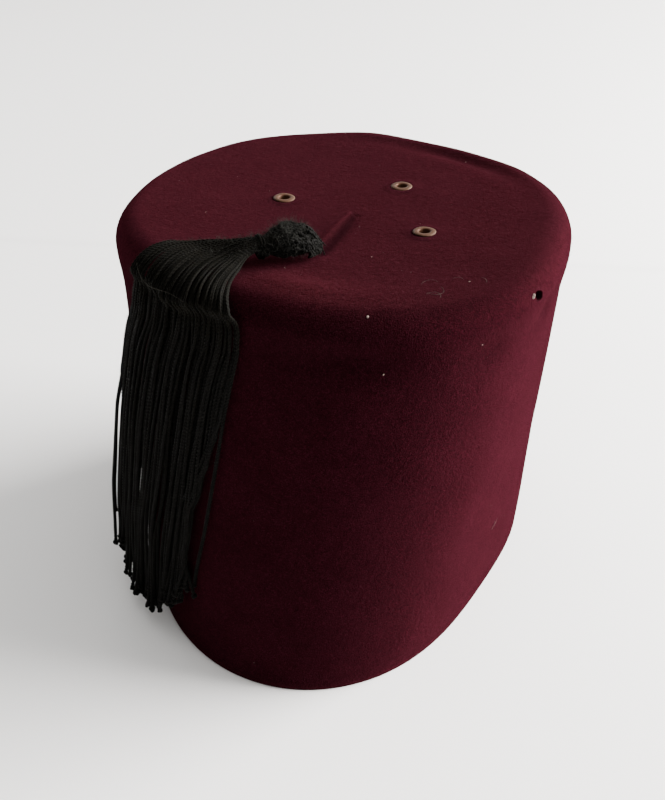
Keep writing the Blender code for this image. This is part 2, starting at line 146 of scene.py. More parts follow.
HEAD_FIRST = STATION_NAMES.index("bight")
NECK = STATION_NAMES.index("neck_start")
NECK_END = STATION_NAMES.index("neck_end")
SHOULDER = STATION_NAMES.index("shoulder")
EDGE = STATION_NAMES.index("edge")
LAST = len(STATION_NAMES) - 1


# Shapes of the felt and of the tassel


def outline_radius(outline, azimuth):
    """Radius of an outline at azimuths in degrees."""
    mean = (outline.length + outline.width) / 4
    oval = (outline.length - outline.width) / (outline.length + outline.width)
    return mean * (
        1
        + oval * np.cos(2 * np.radians(azimuth - outline.long_way))
        + outline.egg * np.cos(3 * np.radians(azimuth - outline.egg_way))
        + outline.square * np.cos(4 * np.radians(azimuth - outline.square_way))
    )


def wall_blend(height):
    """Share of the crown's outline in the wall's at a height, and the shift of its middle."""
    blend = np.clip((height - HEM_HEIGHT) / (WALL_TOP - HEM_HEIGHT), 0, 1)
    shift_x = blend * CROWN.shift_x * CROWN.length + (1 - blend) * BAND.shift_x * BAND.length
    shift_y = blend * CROWN.shift_y * CROWN.length + (1 - blend) * BAND.shift_y * BAND.length
    return blend, shift_x, shift_y


def blocked_point(azimuth, way):
    """Point on the cap as it left its block."""
    azimuth, way = np.broadcast_arrays(np.asarray(azimuth, float), np.asarray(way, float))
    crown = outline_radius(CROWN, azimuth)
    band = outline_radius(BAND, azimuth)
    flat = crown - CROWN_EDGE_RADIUS
    on_crown = np.clip(way / CREASE_WAY, 0, 1)
    bend = np.clip((way - CREASE_WAY) / (WALL_WAY - CREASE_WAY), 0, 1) * math.pi / 2
    down = np.clip((way - WALL_WAY) / (HEM_WAY - WALL_WAY), 0, 1)
    height = WALL_TOP * (1 - down) + CROWN_EDGE_RADIUS * np.cos(bend)
    height = height - CROWN_DISH * (1 - on_crown**2)
    blend, shift_x, shift_y = wall_blend(height)
    radius = np.where(
        down > 0,
        blend * crown + (1 - blend) * band,
        flat * on_crown + CROWN_EDGE_RADIUS * np.sin(bend),
    )
    swell = np.exp(-(((height - WALL_TOP) / CROWN_EDGE_RADIUS) ** 2))
    radius = radius + EDGE_SWELL * np.sin(bend) * swell
    turn = np.radians(azimuth)
    return np.stack(
        [shift_x + radius * np.cos(turn), shift_y + radius * np.sin(turn), height], axis=-1
    )


def felt_normal(azimuth, way):
    """Outward direction of the felt."""
    azimuth, way = np.broadcast_arrays(np.asarray(azimuth, float), np.asarray(way, float))
    way = np.clip(way, 0.02, HEM_WAY - 0.02)
    around = blocked_point(azimuth + 0.5, way) - blocked_point(azimuth - 0.5, way)
    along = blocked_point(azimuth, way + 0.01) - blocked_point(azimuth, way - 0.01)
    normal = np.cross(along, around)
    return normal / np.linalg.norm(normal, axis=-1, keepdims=True)


def felt_point(azimuth, way, lift=0.0):
    """Point at a lift over the dented felt."""
    dent_depth = 0.0
    for dent in DENTS:
        across = (np.asarray(azimuth) - dent.azimuth + 180) % 360 - 180
        along = np.asarray(way) - dent.way
        fall = (across / dent.spread_azimuth) ** 2 + (along / dent.spread_way) ** 2
        dent_depth = dent_depth + dent.depth * CROWN_EDGE_RADIUS * np.exp(-fall)
    offset = np.asarray(lift - dent_depth)[..., None]
    return blocked_point(azimuth, way) + felt_normal(azimuth, way) * offset


def felt_place(points):
    """Azimuths and ways of points in or on the felt, its dents left out."""
    height = points[:, 2]
    _, shift_x, shift_y = wall_blend(height)
    azimuth = np.degrees(np.arctan2(points[:, 1] - shift_y, points[:, 0] - shift_x)) % 360
    reach = np.hypot(points[:, 0] - shift_x, points[:, 1] - shift_y)
    flat = outline_radius(CROWN, azimuth) - CROWN_EDGE_RADIUS
    turned = np.arctan2(np.maximum(reach - flat, 0), np.maximum(height - WALL_TOP, 0))
    on_edge = CREASE_WAY + turned / (math.pi / 2) * (WALL_WAY - CREASE_WAY)
    on_wall = WALL_WAY + (1 - height / WALL_TOP) * (HEM_WAY - WALL_WAY)
    way = np.where(reach < flat, CREASE_WAY * reach / flat, on_edge)
    return azimuth, np.where(height > WALL_TOP, way, on_wall)


def near_place(azimuth, way, place, spread_azimuth, spread_way):
    """Soft spot, 1 at a place and 0 away from it."""
    across = (azimuth - place[0] + 180) % 360 - 180
    return np.exp(-((across / spread_azimuth) ** 2) - ((way - place[1]) / spread_way) ** 2)


def place_matrix(place, lift=0.0):
    """Frame that stands on the felt at a place, with its Z pointing out."""
    point = Vector(felt_point(place.azimuth, place.way, lift))
    normal = Vector(felt_normal(place.azimuth, place.way))
    return Matrix.Translation(point) @ normal.to_track_quat("Z", "Y").to_matrix().to_4x4()


def station_rows():
    """Stations of the tassel as rows of numbers, round ones as wide as deep."""
    rows = []
    for values in STATIONS.values():
        back_azimuth, back_way, front_azimuth, front_way, _, depth, roundness, _ = values
        if roundness == 1:
            ends = felt_point(
                np.array([back_azimuth, front_azimuth]), np.array([back_way, front_way])
            )
            share = depth * HEAD_DEPTH / np.linalg.norm(ends[1] - ends[0])
            azimuth = (back_azimuth + front_azimuth) / 2
            way = (back_way + front_way) / 2
            values = (
                azimuth + (back_azimuth - azimuth) * share,
                way + (back_way - way) * share,
                azimuth + (front_azimuth - azimuth) * share,
                way + (front_way - way) * share,
                *values[4:],
            )
        rows.append(values)
    return np.array(rows)


STATION_ROWS = station_rows()


def smooth_rows(rows, position):
    """Rows at fractional positions, along a smooth curve through them."""
    position = np.asarray(position, float)
    first = np.clip(position.astype(int), 0, len(rows) - 2)
    part = (position - first)[:, None]
    before = rows[np.maximum(first - 1, 0)]
    start, end = rows[first], rows[first + 1]
    after = rows[np.minimum(first + 2, len(rows) - 1)]
    return 0.5 * (
        2 * start
        + (end - before) * part
        + (2 * before - 5 * start + 4 * end - after) * part**2
        + (3 * start - before - 3 * end + after) * part**3
    )


def tassel_points(position, across, share, inset=0.0, rise=0.0):
    """Points in the tassel: station position, share across and share up through it."""
    row = smooth_rows(STATION_ROWS, position)
    back_azimuth, back_way, front_azimuth, front_way = row[:, :4].T
    raised, depth_share, roundness, flare_share = row[:, 4:].T
    roundness = np.clip(roundness, 0, 1)
    side = (1 - roundness) * (2 * across - 1) - roundness * np.cos(math.pi * across)
    along = (side + 1) / 2
    azimuth = back_azimuth + (front_azimuth - back_azimuth) * along
    way = back_way + (front_way - back_way) * along
    depth = depth_share * HEAD_DEPTH
    hollow = roundness * depth / 2
    edge = depth * EDGE_DEPTH * (1 - roundness) + LEAST_EDGE * depth
    under = hollow * (1 - np.sqrt(np.clip(1 - side**2, 0, 1))) + inset
    over = hollow + edge
    bulge = np.sqrt(np.clip(1 - np.abs(side) ** SECTION_POWER, 0, 1))
    over = over + (depth - over) * bulge - inset
    flare = np.maximum(flare_share, 0) * SKIRT_FLARE * np.clip(1 - along, 0, 1) ** FLARE_POWER
    lift = CORD_GAP + raised * NECK_RAISE + flare + rise
    return felt_point(azimuth, way, lift + under + (over - under) * share)


NOISE_GAIN = 1.6
NOISE_SLICE = 0.37


def wander(phase, along, scale):
    """Slow swing between about -1 and 1 that differs with its phase."""
    return np.array(
        [noise.noise((phase, value * scale, NOISE_SLICE)) * NOISE_GAIN for value in along]
    )


# Blender helpers


def deselect_all():
    """Leave nothing selected."""
    if bpy.context.object and bpy.context.object.mode != "OBJECT":
        bpy.ops.object.mode_set(mode="OBJECT")
    bpy.ops.object.select_all(action="DESELECT")


def choose(piece):
    """Select one object alone and make it active."""
    deselect_all()
    piece.select_set(True)
    bpy.context.view_layer.objects.active = piece


def edit_all(piece, *steps):
    """Run edit-mode steps on everything in a piece."""
    choose(piece)
    bpy.ops.object.mode_set(mode="EDIT")
    bpy.ops.mesh.select_mode(type="VERT")
    bpy.ops.mesh.select_all(action="SELECT")
    for step in steps:
        step()
    bpy.ops.object.mode_set(mode="OBJECT")


def apply_modifier(piece, kind, **values):
    """Add a modifier, give it its values and apply it."""
    modifier = piece.modifiers.new(kind.lower(), kind)
    for key, value in values.items():
        setattr(modifier, key, value)
    choose(piece)
    bpy.ops.object.modifier_apply(modifier=modifier.name)


def apply_place(piece):
    """Put a piece's place into its mesh."""
    choose(piece)
    bpy.ops.object.transform_apply(location=True, rotation=True, scale=True)


def read_points(mesh):
    """Vertices of a mesh as an array."""
    points = np.empty(len(mesh.vertices) * 3)
    mesh.vertices.foreach_get("co", points)
    return points.reshape(-1, 3)


def write_points(mesh, points):
    """Set the vertices of a mesh from an array."""
    mesh.vertices.foreach_set("co", np.asarray(points).ravel())
    mesh.update()


def set_attribute(mesh, name, values):
    """Store one number a vertex, for a material to read."""
    attribute = mesh.attributes.get(name) or mesh.attributes.new(name, "FLOAT", "POINT")
    attribute.data.foreach_set("value", np.asarray(values, np.float32))


def new_object(name, data):
    """Object in the scene from its data."""
    made = bpy.data.objects.new(name, data)
    bpy.context.scene.collection.objects.link(made)
    return made


def mesh_piece(name, points, faces):
    """Object from arrays of vertices and faces."""
    mesh = bpy.data.meshes.new(name)
    mesh.from_pydata([tuple(point) for point in points], [], [tuple(face) for face in faces])
    mesh.validate()
    return new_object(name, mesh)


def dress(piece, material, slot, *nodes):
    """Give a finished piece its material, body and the nodes it stands for."""
    piece.data.materials.clear()
    piece.data.materials.append(material)
    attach(piece, "root")
    if nodes:
        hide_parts(*nodes)


# Cords

PLY_DIP = 0.20
PITCH_CHANGE = 0.14
KNOT_POINTS = 24
KNOT_REACH = 3.0
TUBE_RESOLUTION = 1
FIBRE_RINGS = 4
FIBRE_SIDES = 3
FIBRE_BEND = 0.45
FIBRE_TAPER = 0.8


def even_steps(points, step):
    """A line through points again, with even steps along it."""
    points = np.asarray(points)
    length = np.concatenate([[0], np.cumsum(np.linalg.norm(np.diff(points, axis=0), axis=1))])
    count = max(int(round(length[-1] / step)) + 1, 3)
    at = np.linspace(0, length[-1], count)
    return np.stack([np.interp(at, length, points[:, axis]) for axis in range(3)], axis=1), at


def cord_profile(radius, sides):
    """Section of a two-ply cord: two plies side by side, as a closed curve."""
    data = bpy.data.curves.new("cord_section", "CURVE")
    data.dimensions = "2D"
    spline = data.splines.new("POLY")
    spline.points.add(sides - 1)
    for index, point in enumerate(spline.points):
        turn = math.tau * index / sides
        reach = radius * (1 - PLY_DIP + PLY_DIP * math.cos(2 * turn))
        point.co = (reach * math.cos(turn), reach * math.sin(turn), 0.0, 1.0)
    spline.use_cyclic_u = True
    return new_object("cord_section", data)


def new_curve(name):
    """Data of a 3D curve whose tubes are closed at their ends."""
    data = bpy.data.curves.new(name, "CURVE")
    data.dimensions = "3D"
    data.use_fill_caps = True
    return data


def add_spline(data, line, girths):
    """Line of a curve through points, with a girth at each of them."""
    along = np.linspace(0, 1, len(line))
    spline = data.splines.new("POLY")
    spline.points.add(len(line) - 1)
    spline.points.foreach_set("co", np.c_[line, np.ones(len(line))].ravel())
    spline.points.foreach_set(
        "radius", np.interp(along, np.linspace(0, 1, len(girths)), girths)
    )
    return spline


def curve_to_mesh(name, data):
    """Smooth mesh of a curve's tubes, with their ends joined on."""
    choose(new_object(name, data))
    bpy.ops.object.convert(target="MESH")
    tubes = bpy.context.object
    edit_all(tubes, lambda: bpy.ops.mesh.remove_doubles(threshold=1e-7))
    bpy.ops.object.shade_smooth()
    return tubes


def twist_cords(name, routes, radius, pitch, sides, rings):
    """Mesh of two-ply cords along routes of (points, girths)."""
    section = cord_profile(radius, sides)
    data = new_curve(name)
    data.bevel_mode = "OBJECT"
    data.bevel_object = section
    for number, (points, girths) in enumerate(routes):
        line, at = even_steps(points, pitch / rings)
        spline = add_spline(data, line, girths)
        turns = at / pitch * (1 + PITCH_CHANGE * math.sin(2.4 * number))
        spline.points.foreach_set("tilt", number * 1.3 + turns * math.tau)
    cords = curve_to_mesh(name, data)
    bpy.data.objects.remove(section, do_unlink=True)
    return cords


def knot_route(centre, size, turn, tilt):
    """Closed line of an overhand knot pulled tight round a centre."""
    angle = np.linspace(0, math.tau, KNOT_POINTS, endpoint=False)
    loop = np.stack(
        [
            np.sin(angle) + 2 * np.sin(2 * angle),
            np.cos(angle) - 2 * np.cos(2 * angle),
            -1.6 * np.sin(3 * angle),
        ],
        axis=1,
    )
    spin = Matrix.Rotation(turn, 3, "Z") @ Matrix.Rotation(tilt, 3, "X")
    return centre + (loop / KNOT_REACH * size) @ np.array(spin).T


def round_tubes(name, routes, radius, closed=False):
    """Mesh of plain round tubes along routes of (points, girths)."""
    data = new_curve(name)
    data.bevel_depth = radius
    data.bevel_resolution = TUBE_RESOLUTION
    for points, girths in routes:
        add_spline(data, points, girths).use_cyclic_u = closed
    return curve_to_mesh(name, data)


def fibre_piece(name, roots, ways_out, lengths, thickness, chance):
    """Fine curved hairs that stand from roots, as one mesh."""
    bends = chance.normal(0, FIBRE_BEND, (len(roots), 3))
    side = np.cross(ways_out, chance.normal(0, 1, (len(roots), 3)))
    side /= np.linalg.norm(side, axis=1, keepdims=True)
    other = np.cross(ways_out, side)
    other /= np.linalg.norm(other, axis=1, keepdims=True)
    points = []
    for step in range(FIBRE_RINGS):
        share = step / (FIBRE_RINGS - 1)
        centre = roots + (ways_out * share + bends * share**2 * 0.6) * lengths[:, None]
        girth = thickness / 2 * (1 - FIBRE_TAPER * share)
        for corner in range(FIBRE_SIDES):
            turn = math.tau * corner / FIBRE_SIDES
            points.append(centre + (side * math.cos(turn) + other * math.sin(turn)) * girth)
    points = np.stack(points, axis=1)
    points = points[points[:, :, 2].min(axis=1) > 0.0]
    ring = np.arange(FIBRE_SIDES)
    after = (ring + 1) % FIBRE_SIDES
    quads = np.concatenate(
        [
            base + np.stack([ring, after, FIBRE_SIDES + after, FIBRE_SIDES + ring], axis=1)
            for base in range(0, (FIBRE_RINGS - 1) * FIBRE_SIDES, FIBRE_SIDES)
        ]
    )
    first = np.arange(len(points)) * FIBRE_RINGS * FIBRE_SIDES
    faces = (quads[None] + first[:, None, None]).reshape(-1, 4)
    return mesh_piece(name, points.reshape(-1, 3), faces.tolist())


# Materials

# Tint of the painted shade in the felt's creases, dents and under the tassel
PAINTED_SHADE_TINT = (0.28, 0.34, 0.34)
# Olive dust tint, with painted shade, for the cords lying on the crown
DUST_AND_SHADE_TINT = (0.54, 0.495, 0.37)
# The floor's step in tone: how it slants, where it begins and ends, and the thin painted shadow
# line before it
STEP_SLOPE = -0.236
STEP_PLACE = (0.292, 0.306)
JOIN_SHADOW_PLACE = 0.290
JOIN_SHADOW_WIDTH = 0.010


def new_group(name, inputs, outputs):
    """Shader node group with named value inputs and outputs."""
    group = bpy.data.node_groups.new(name, "ShaderNodeTree")
    for label, kind, default in inputs:
        socket = group.interface.new_socket(label, in_out="INPUT", socket_type=kind)
        if default is not None:
            socket.default_value = default
    for label, kind in outputs:
        group.interface.new_socket(label, in_out="OUTPUT", socket_type=kind)
    return group, group.nodes.new("NodeGroupInput"), group.nodes.new("NodeGroupOutput")


def feed(tree, socket, value):
    """Link a socket to another node's output, or set its value."""
    if isinstance(value, bpy.types.NodeSocket):
        tree.links.new(value, socket)
    elif socket.type == "RGBA":
        socket.default_value = (*value[:3], 1.0)
    else:
        socket.default_value = value


def add_node(tree, kind, values=None, **settings):
    """Node with its settings and its input values or links."""
    node = tree.nodes.new(kind)
    for key, value in settings.items():
        setattr(node, key, value)
    for key, value in (values or {}).items():
        feed(tree, node.inputs[key], value)
    return node


def ramp_node(tree, factor, stops):
    """Colour ramp through stops of position and grey or colour."""
    node = add_node(tree, "ShaderNodeValToRGB", {"Fac": factor})
    ramp = node.color_ramp
    for index, (position, colour) in enumerate(stops):
        element = ramp.elements[index] if index < 2 else ramp.elements.new(position)
        element.position = position
        if not hasattr(colour, "__len__"):
            colour = (colour, colour, colour)
        element.color = (*colour, 1.0)
    return node.outputs["Color"]


def mix_colours(tree, factor, first, second, blend="MIX"):
    """Mix of two colours by a factor."""
    values = {0: factor, 6: first, 7: second}
    node = add_node(tree, "ShaderNodeMix", values, data_type="RGBA", blend_type=blend)
    return node.outputs[2]


def maths(tree, operation, *values, clamp=False):
    """Result of one operation on values."""
    values = dict(enumerate(values))
    node = add_node(tree, "ShaderNodeMath", values, operation=operation, use_clamp=clamp)
    return node.outputs[0]


def noise_value(tree, vector, scale, detail, roughness=0.5, distortion=0.0):
    """Value of a noise texture."""
    values = {"Vector": vector, "Scale": scale, "Detail": detail, "Roughness": roughness,
              "Distortion": distortion}
    return add_node(tree, "ShaderNodeTexNoise", values).outputs["Fac"]


def attribute_value(tree, name):
    """Value that a mesh stores under a name."""
    return add_node(tree, "ShaderNodeAttribute", attribute_name=name).outputs["Fac"]


def smooth_range(tree, value, start, end, low=0.0, high=1.0):
    """Value that goes smoothly from low at the start to high at the end."""
    values = {"Value": value, "From Min": start, "From Max": end, "To Min": low, "To Max": high}
    node = add_node(tree, "ShaderNodeMapRange", values, interpolation_type="SMOOTHSTEP")
    return node.outputs["Result"]


def wool_group():
    """Group for matted wool: fibre mask, patches and height."""
    if "matted_wool" in bpy.data.node_groups:
        return bpy.data.node_groups["matted_wool"]
    group, given, result = new_group(
        "matted_wool",
        (("Vector", "NodeSocketVector", None), ("Fibre Scale", "NodeSocketFloat", 900.0),
         ("Patch Scale", "NodeSocketFloat", 55.0)),
        (("Fibres", "NodeSocketFloat"), ("Patches", "NodeSocketFloat"),
         ("Height", "NodeSocketFloat")),
    )
    vector, scale = given.outputs["Vector"], given.outputs["Fibre Scale"]
    tangle = noise_value(group, vector, scale, 4.0, 0.62, 2.2)
    fine = noise_value(group, vector, maths(group, "MULTIPLY", scale, 2.7), 2.0, 0.7, 0.6)
    clumps = noise_value(group, vector, maths(group, "MULTIPLY", scale, 0.33), 2.0, 0.5, 0.8)
    patches = noise_value(group, vector, given.outputs["Patch Scale"], 3.0, 0.55)
    fibres = maths(group, "MULTIPLY_ADD", fine, 0.5, maths(group, "MULTIPLY", tangle, 0.5))
    height = maths(group, "MULTIPLY_ADD", clumps, 0.6, fibres)
    for name, value in (("Fibres", fibres), ("Patches", patches), ("Height", height)):
        group.links.new(value, result.inputs[name])
    return group


def grime_group():
    """Group for wear and dirt: a soft mask broken up by specks."""
    if "specked_wear" in bpy.data.node_groups:
        return bpy.data.node_groups["specked_wear"]
    group, given, result = new_group(
        "specked_wear",
        (("Vector", "NodeSocketVector", None), ("Mask", "NodeSocketFloat", 1.0),
         ("Speck Scale", "NodeSocketFloat", 300.0), ("Threshold", "NodeSocketFloat", 0.5)),
        (("Wear", "NodeSocketFloat"),),
    )
    specks = noise_value(
        group, given.outputs["Vector"], given.outputs["Speck Scale"], 5.0, 0.7, 0.4
    )
    over = maths(group, "SUBTRACT", specks, given.outputs["Threshold"])
    grown = maths(group, "MULTIPLY", over, 6.0, clamp=True)
    group.links.new(maths(group, "MULTIPLY", grown, given.outputs["Mask"]), result.inputs["Wear"])
    return group


def wool_node(tree, where, fibre_scale, patch_scale):
    """Placed group for matted wool."""
    values = {"Vector": where, "Fibre Scale": fibre_scale, "Patch Scale": patch_scale}
    return add_node(tree, "ShaderNodeGroup", values, node_tree=wool_group())


def wear_value(tree, where, mask, scale, threshold):
    """Wear in specks, where a mask lets it show."""
    values = {"Vector": where, "Mask": mask, "Speck Scale": scale, "Threshold": threshold}
    return add_node(tree, "ShaderNodeGroup", values, node_tree=grime_group()).outputs["Wear"]


def new_finish(name, roughness, metallic=0.0, **constants):
    """Material with a Principled shader whose constants sit on its own sockets."""
    material = bpy.data.materials.new(name)
    material.use_nodes = True
    shader = material.node_tree.nodes["Principled BSDF"]
    shader.inputs["Roughness"].default_value = roughness
    shader.inputs["Metallic"].default_value = metallic
    for key, value in constants.items():
        shader.inputs[key.replace("_", " ").title().replace("Ior", "IOR")].default_value = value
    where = add_node(material.node_tree, "ShaderNodeTexCoord").outputs["Object"]
    return material, material.node_tree, shader, where


def bump_into(tree, shader, height, distance, strength):
    """Bump from a height into a shader's normal."""
    values = {"Height": height, "Distance": distance, "Strength": strength}
    bump = add_node(tree, "ShaderNodeBump", values)
    tree.links.new(bump.outputs["Normal"], shader.inputs["Normal"])


def shade(colour, share):
    """A colour made darker or lighter."""
    return tuple(channel * share for channel in colour[:3])


def felt_finish(settings):
    """Maroon wool felt: mottled, with painted shade on the crown's top, in its creases and dents
    and under the tassel, lighter where its hem is worn and where highlights are painted on its
    edges.
    """
    material, tree, shader, where = new_finish(
        "maroon_felt", 0.95, sheen_weight=0.04, sheen_roughness=0.45,
        sheen_tint=(1.0, 0.18, 0.28, 1.0), specular_ior_level=0.0,
    )
    wool = wool_node(tree, where, 980.0, 46.0)
    colour = settings.colour
    fibres = ramp_node(
        tree, wool.outputs["Fibres"],
        ((0.37, shade(colour, 0.17)), (0.51, shade(colour, 0.58)), (0.63, shade(colour, 1.45))),
    )
    patches = ramp_node(tree, wool.outputs["Patches"], ((0.32, 0.88), (0.68, 1.12)))
    tone = mix_colours(tree, 1.0, fibres, patches, "MULTIPLY")
    # Painted highlights on the stem's ridge, the bulges and stretches of the crown's edge, and wear
    # at the hem, lighten the felt in specks
    worn = wear_value(tree, where, attribute_value(tree, "rub"), 700.0, 0.38)
    tone = mix_colours(tree, maths(tree, "MULTIPLY", worn, 0.55), tone, settings.wear_and_highlight_colour)
    # Painted shade: the crown's top is darkened and greyed; the same mask places the felted pills
    soil = attribute_value(tree, "soil")
    tone = mix_colours(tree, soil, tone, settings.crown_shade_tone, "MULTIPLY")
    pills = wear_value(tree, where, soil, 560.0, 0.49)
    tone = mix_colours(tree, maths(tree, "MULTIPLY", pills, 0.30), tone, settings.pill_colour)
    # Painted shade: the felt is darker and greyer in the stem's dip, its dents and under the
    # tassel's cords
    tone = mix_colours(tree, attribute_value(tree, "crease"), tone, PAINTED_SHADE_TINT, "MULTIPLY")
    specks = wear_value(tree, where, attribute_value(tree, "dust"), 1500.0, 0.66)
    tone = mix_colours(tree, maths(tree, "MULTIPLY", specks, 0.22), tone, settings.dust_colour)
    tone = mix_colours(tree, attribute_value(tree, "bare"), tone, settings.bare_colour)
    tree.links.new(tone, shader.inputs["Base Color"])
    bump_into(tree, shader, wool.outputs["Height"], 0.0005, 0.7)
    return material


def fuzz_finish(name, colour, tip_colour):
    """Loose fibres, lighter here and there."""
    material, tree, shader, where = new_finish(name, 0.9, specular_ior_level=0.0)
    mix = noise_value(tree, where, 420.0, 2.0)
    tone = ramp_node(tree, mix, ((0.35, colour), (0.70, tip_colour)))
    tree.links.new(tone, shader.inputs["Base Color"])
    return material


def cord_finish(settings):
    """Black twisted cord with a faint silky shine, darker and olive where dust and painted shade
    lie on the cords on the crown.
    """
    material, tree, shader, where = new_finish(
        "black_twisted_cord", 0.70, sheen_weight=0.01, sheen_roughness=0.4,
        sheen_tint=(0.9, 0.85, 0.65, 1.0), specular_ior_level=0.04,
    )
    wool = wool_node(tree, where, 1900.0, 110.0)
    colour = settings.colour
    fibres = ramp_node(
        tree, wool.outputs["Fibres"],
        ((0.40, shade(colour, 0.08)), (0.54, shade(colour, 0.20)), (0.66, shade(colour, 0.6))),
    )
    patches = ramp_node(tree, wool.outputs["Patches"], ((0.30, 0.7), (0.70, 1.4)))
    tone = mix_colours(tree, 1.0, fibres, patches, "MULTIPLY")
    # Dust and painted shade: cords lying on the crown are darkened and tinted olive
    bloom = attribute_value(tree, "bloom")
    dusty_shaded = wear_value(tree, where, bloom, 700.0, 0.45)
    tone = mix_colours(tree, maths(tree, "MULTIPLY", dusty_shaded, 0.5), tone, settings.dusty_shade_colour)
    tone = mix_colours(tree, bloom, tone, DUST_AND_SHADE_TINT, "MULTIPLY")
    tree.links.new(tone, shader.inputs["Base Color"])
    rough = ramp_node(tree, wool.outputs["Patches"], ((0.3, 0.60), (0.7, 0.82)))
    tree.links.new(rough, shader.inputs["Roughness"])
    bump_into(tree, shader, wool.outputs["Height"], 0.00025, 0.6)
    return material


def brass_finish(settings):
    """Brass gone dull and tan, brown in its hollows."""
    material, tree, shader, where = new_finish(
        "worn_brass", 0.6, metallic=0.3, specular_ior_level=0.25
    )
    wear = wear_value(tree, where, 1.0, 900.0, 0.40)
    rim = attribute_value(tree, "rim")
    tone = mix_colours(tree, rim, settings.tarnish_colour, settings.colour)
    tone = mix_colours(tree, maths(tree, "MULTIPLY", wear, 0.5), tone, settings.tarnish_colour)
    tree.links.new(tone, shader.inputs["Base Color"])
    for name, low, high in (("Roughness", 0.42, 0.72), ("Metallic", 0.45, 0.15)):
        tree.links.new(ramp_node(tree, wear, ((0.0, low), (1.0, high))), shader.inputs[name])
    bump_into(tree, shader, noise_value(tree, where, 1400.0, 4.0, 0.6, 1.5), 0.0001, 0.5)
    return material


def lint_finish(name, pale):
    """Lint and dust chips."""
    material, tree, shader, where = new_finish(name, 0.9, specular_ior_level=0.1)
    grain = noise_value(tree, where, 1200.0, 3.0)
    tone = ramp_node(tree, grain, ((0.35, shade(pale, 0.6)), (0.65, shade(pale, 1.4))))
    tree.links.new(tone, shader.inputs["Base Color"])
    bump_into(tree, shader, grain, 0.0001, 0.4)
    return material


def floor_finish(settings):
    """Pale paper floor, with a faint step in tone behind the hat, a thin painted shadow line before
    the step and painted light that makes its right side paler.
    """
    material, tree, shader, where = new_finish("pale_floor", 0.75, specular_ior_level=0.25)
    split = add_node(tree, "ShaderNodeSeparateXYZ", {"Vector": where})
    slope = maths(tree, "MULTIPLY_ADD", split.outputs["X"], STEP_SLOPE, split.outputs["Y"])
    cloud = noise_value(tree, where, 3.0, 3.0)
    floor = settings.floor_colour
    near_tone = mix_colours(tree, cloud, shade(floor, 0.985), floor)
    # Painted shadow: a thin darker line just before the step
    away = maths(tree, "ABSOLUTE", maths(tree, "SUBTRACT", slope, JOIN_SHADOW_PLACE))
    join = smooth_range(tree, away, 0.0, JOIN_SHADOW_WIDTH, 0.60, 0.0)
    near_tone = mix_colours(tree, join, near_tone, shade(floor, 0.93))
    far = smooth_range(tree, slope, *STEP_PLACE)
    tone = mix_colours(tree, far, near_tone, settings.backdrop_colour)
    # Painted light: the floor grows paler towards the right
    side = ramp_node(
        tree, smooth_range(tree, split.outputs["X"], -0.35, 0.45), ((0.0, 0.985), (1.0, 1.055))
    )
    tone = mix_colours(tree, 1.0, tone, side, "MULTIPLY")
    tree.links.new(tone, shader.inputs["Base Color"])
    bump_into(tree, shader, noise_value(tree, where, 900.0, 2.0), 0.0001, 0.15)
    return material


# Settings that a user would change


def colour_property(name, description, default):
    """Colour setting."""
    return bpy.props.FloatVectorProperty(
        name=name, description=description, default=tuple(default[:3]), subtype="COLOR",
        size=3, min=0.0, max=1.0,
    )


def length_property(name, description, default):
    """Length setting in metres."""
    return bpy.props.FloatProperty(
        name=name, description=description, default=default, min=0.0, subtype="DISTANCE",
        unit="LENGTH", precision=4,
    )


def light_property(name, description, default):
    """Power or strength of a light."""
    return bpy.props.FloatProperty(name=name, description=description, default=default, min=0.0)


def count_property(name, description, default, least):
    """How many of a thing there are."""
    return bpy.props.IntProperty(name=name, description=description, default=default, min=least)


class FezFelt(bpy.types.PropertyGroup):
    """Felt of the cap"""

    colour: colour_property("Felt colour", "Colour of the wool felt", (0.0176, 0.0029, 0.0053))
    # Lighter felt for both wear at the hem and painted highlights
    wear_and_highlight_colour: colour_property(
        "Wear and highlight colour", "Colour of the felt where it is worn and where highlights are painted", (0.0620, 0.0100, 0.0152)
    )
    # Painted shade that darkens and greys the crown's top
    crown_shade_tone: colour_property("Crown shade tone", "Tint of the painted shade on the crown's top", (0.635, 0.765, 0.665))
    pill_colour: colour_property(
        "Pill colour", "Colour of the crown's felted pills", (0.0250, 0.0062, 0.0083)
    )
    dust_colour: colour_property("Dust colour", "Colour of dust and lint", (0.215, 0.158, 0.140))
    bare_colour: colour_property(
        "Bare colour", "Colour of bare wool where the felt is torn", (0.40, 0.31, 0.27)
    )
    waviness: length_property("Waviness", "Height of the slow waves in the felt", 0.00035)
    fuzz_length: length_property("Fuzz length", "Length of the loose fibres", 0.0011)
    fuzz_count: count_property(
        "Fuzz count", "How many loose fibres stand on the felt", 6000, 0
    )


class FezCord(bpy.types.PropertyGroup):
    """Cords of the tassel"""

    colour: colour_property("Cord colour", "Colour of the cords", (0.0175, 0.0166, 0.0146))
    # Darker colour of dust and painted shade on the cords
    dusty_shade_colour: colour_property(
        "Dusty shade colour", "Colour of the cords where dust and painted shade lie", (0.0068, 0.0063, 0.0040)
    )
    diameter: length_property("Cord diameter", "Thickness of one two-ply cord", 0.0017)
    pitch: length_property("Twist pitch", "Length of one full turn of the plies", 0.0027)
    knot_width: length_property("Knot width", "Width of the knot on a cord's tip", 0.0029)
    thread: length_property("Thread", "Thickness of the binding thread", 0.0007)
    count: count_property("Cords", "How many cords hang in the tassel", 84, 4)


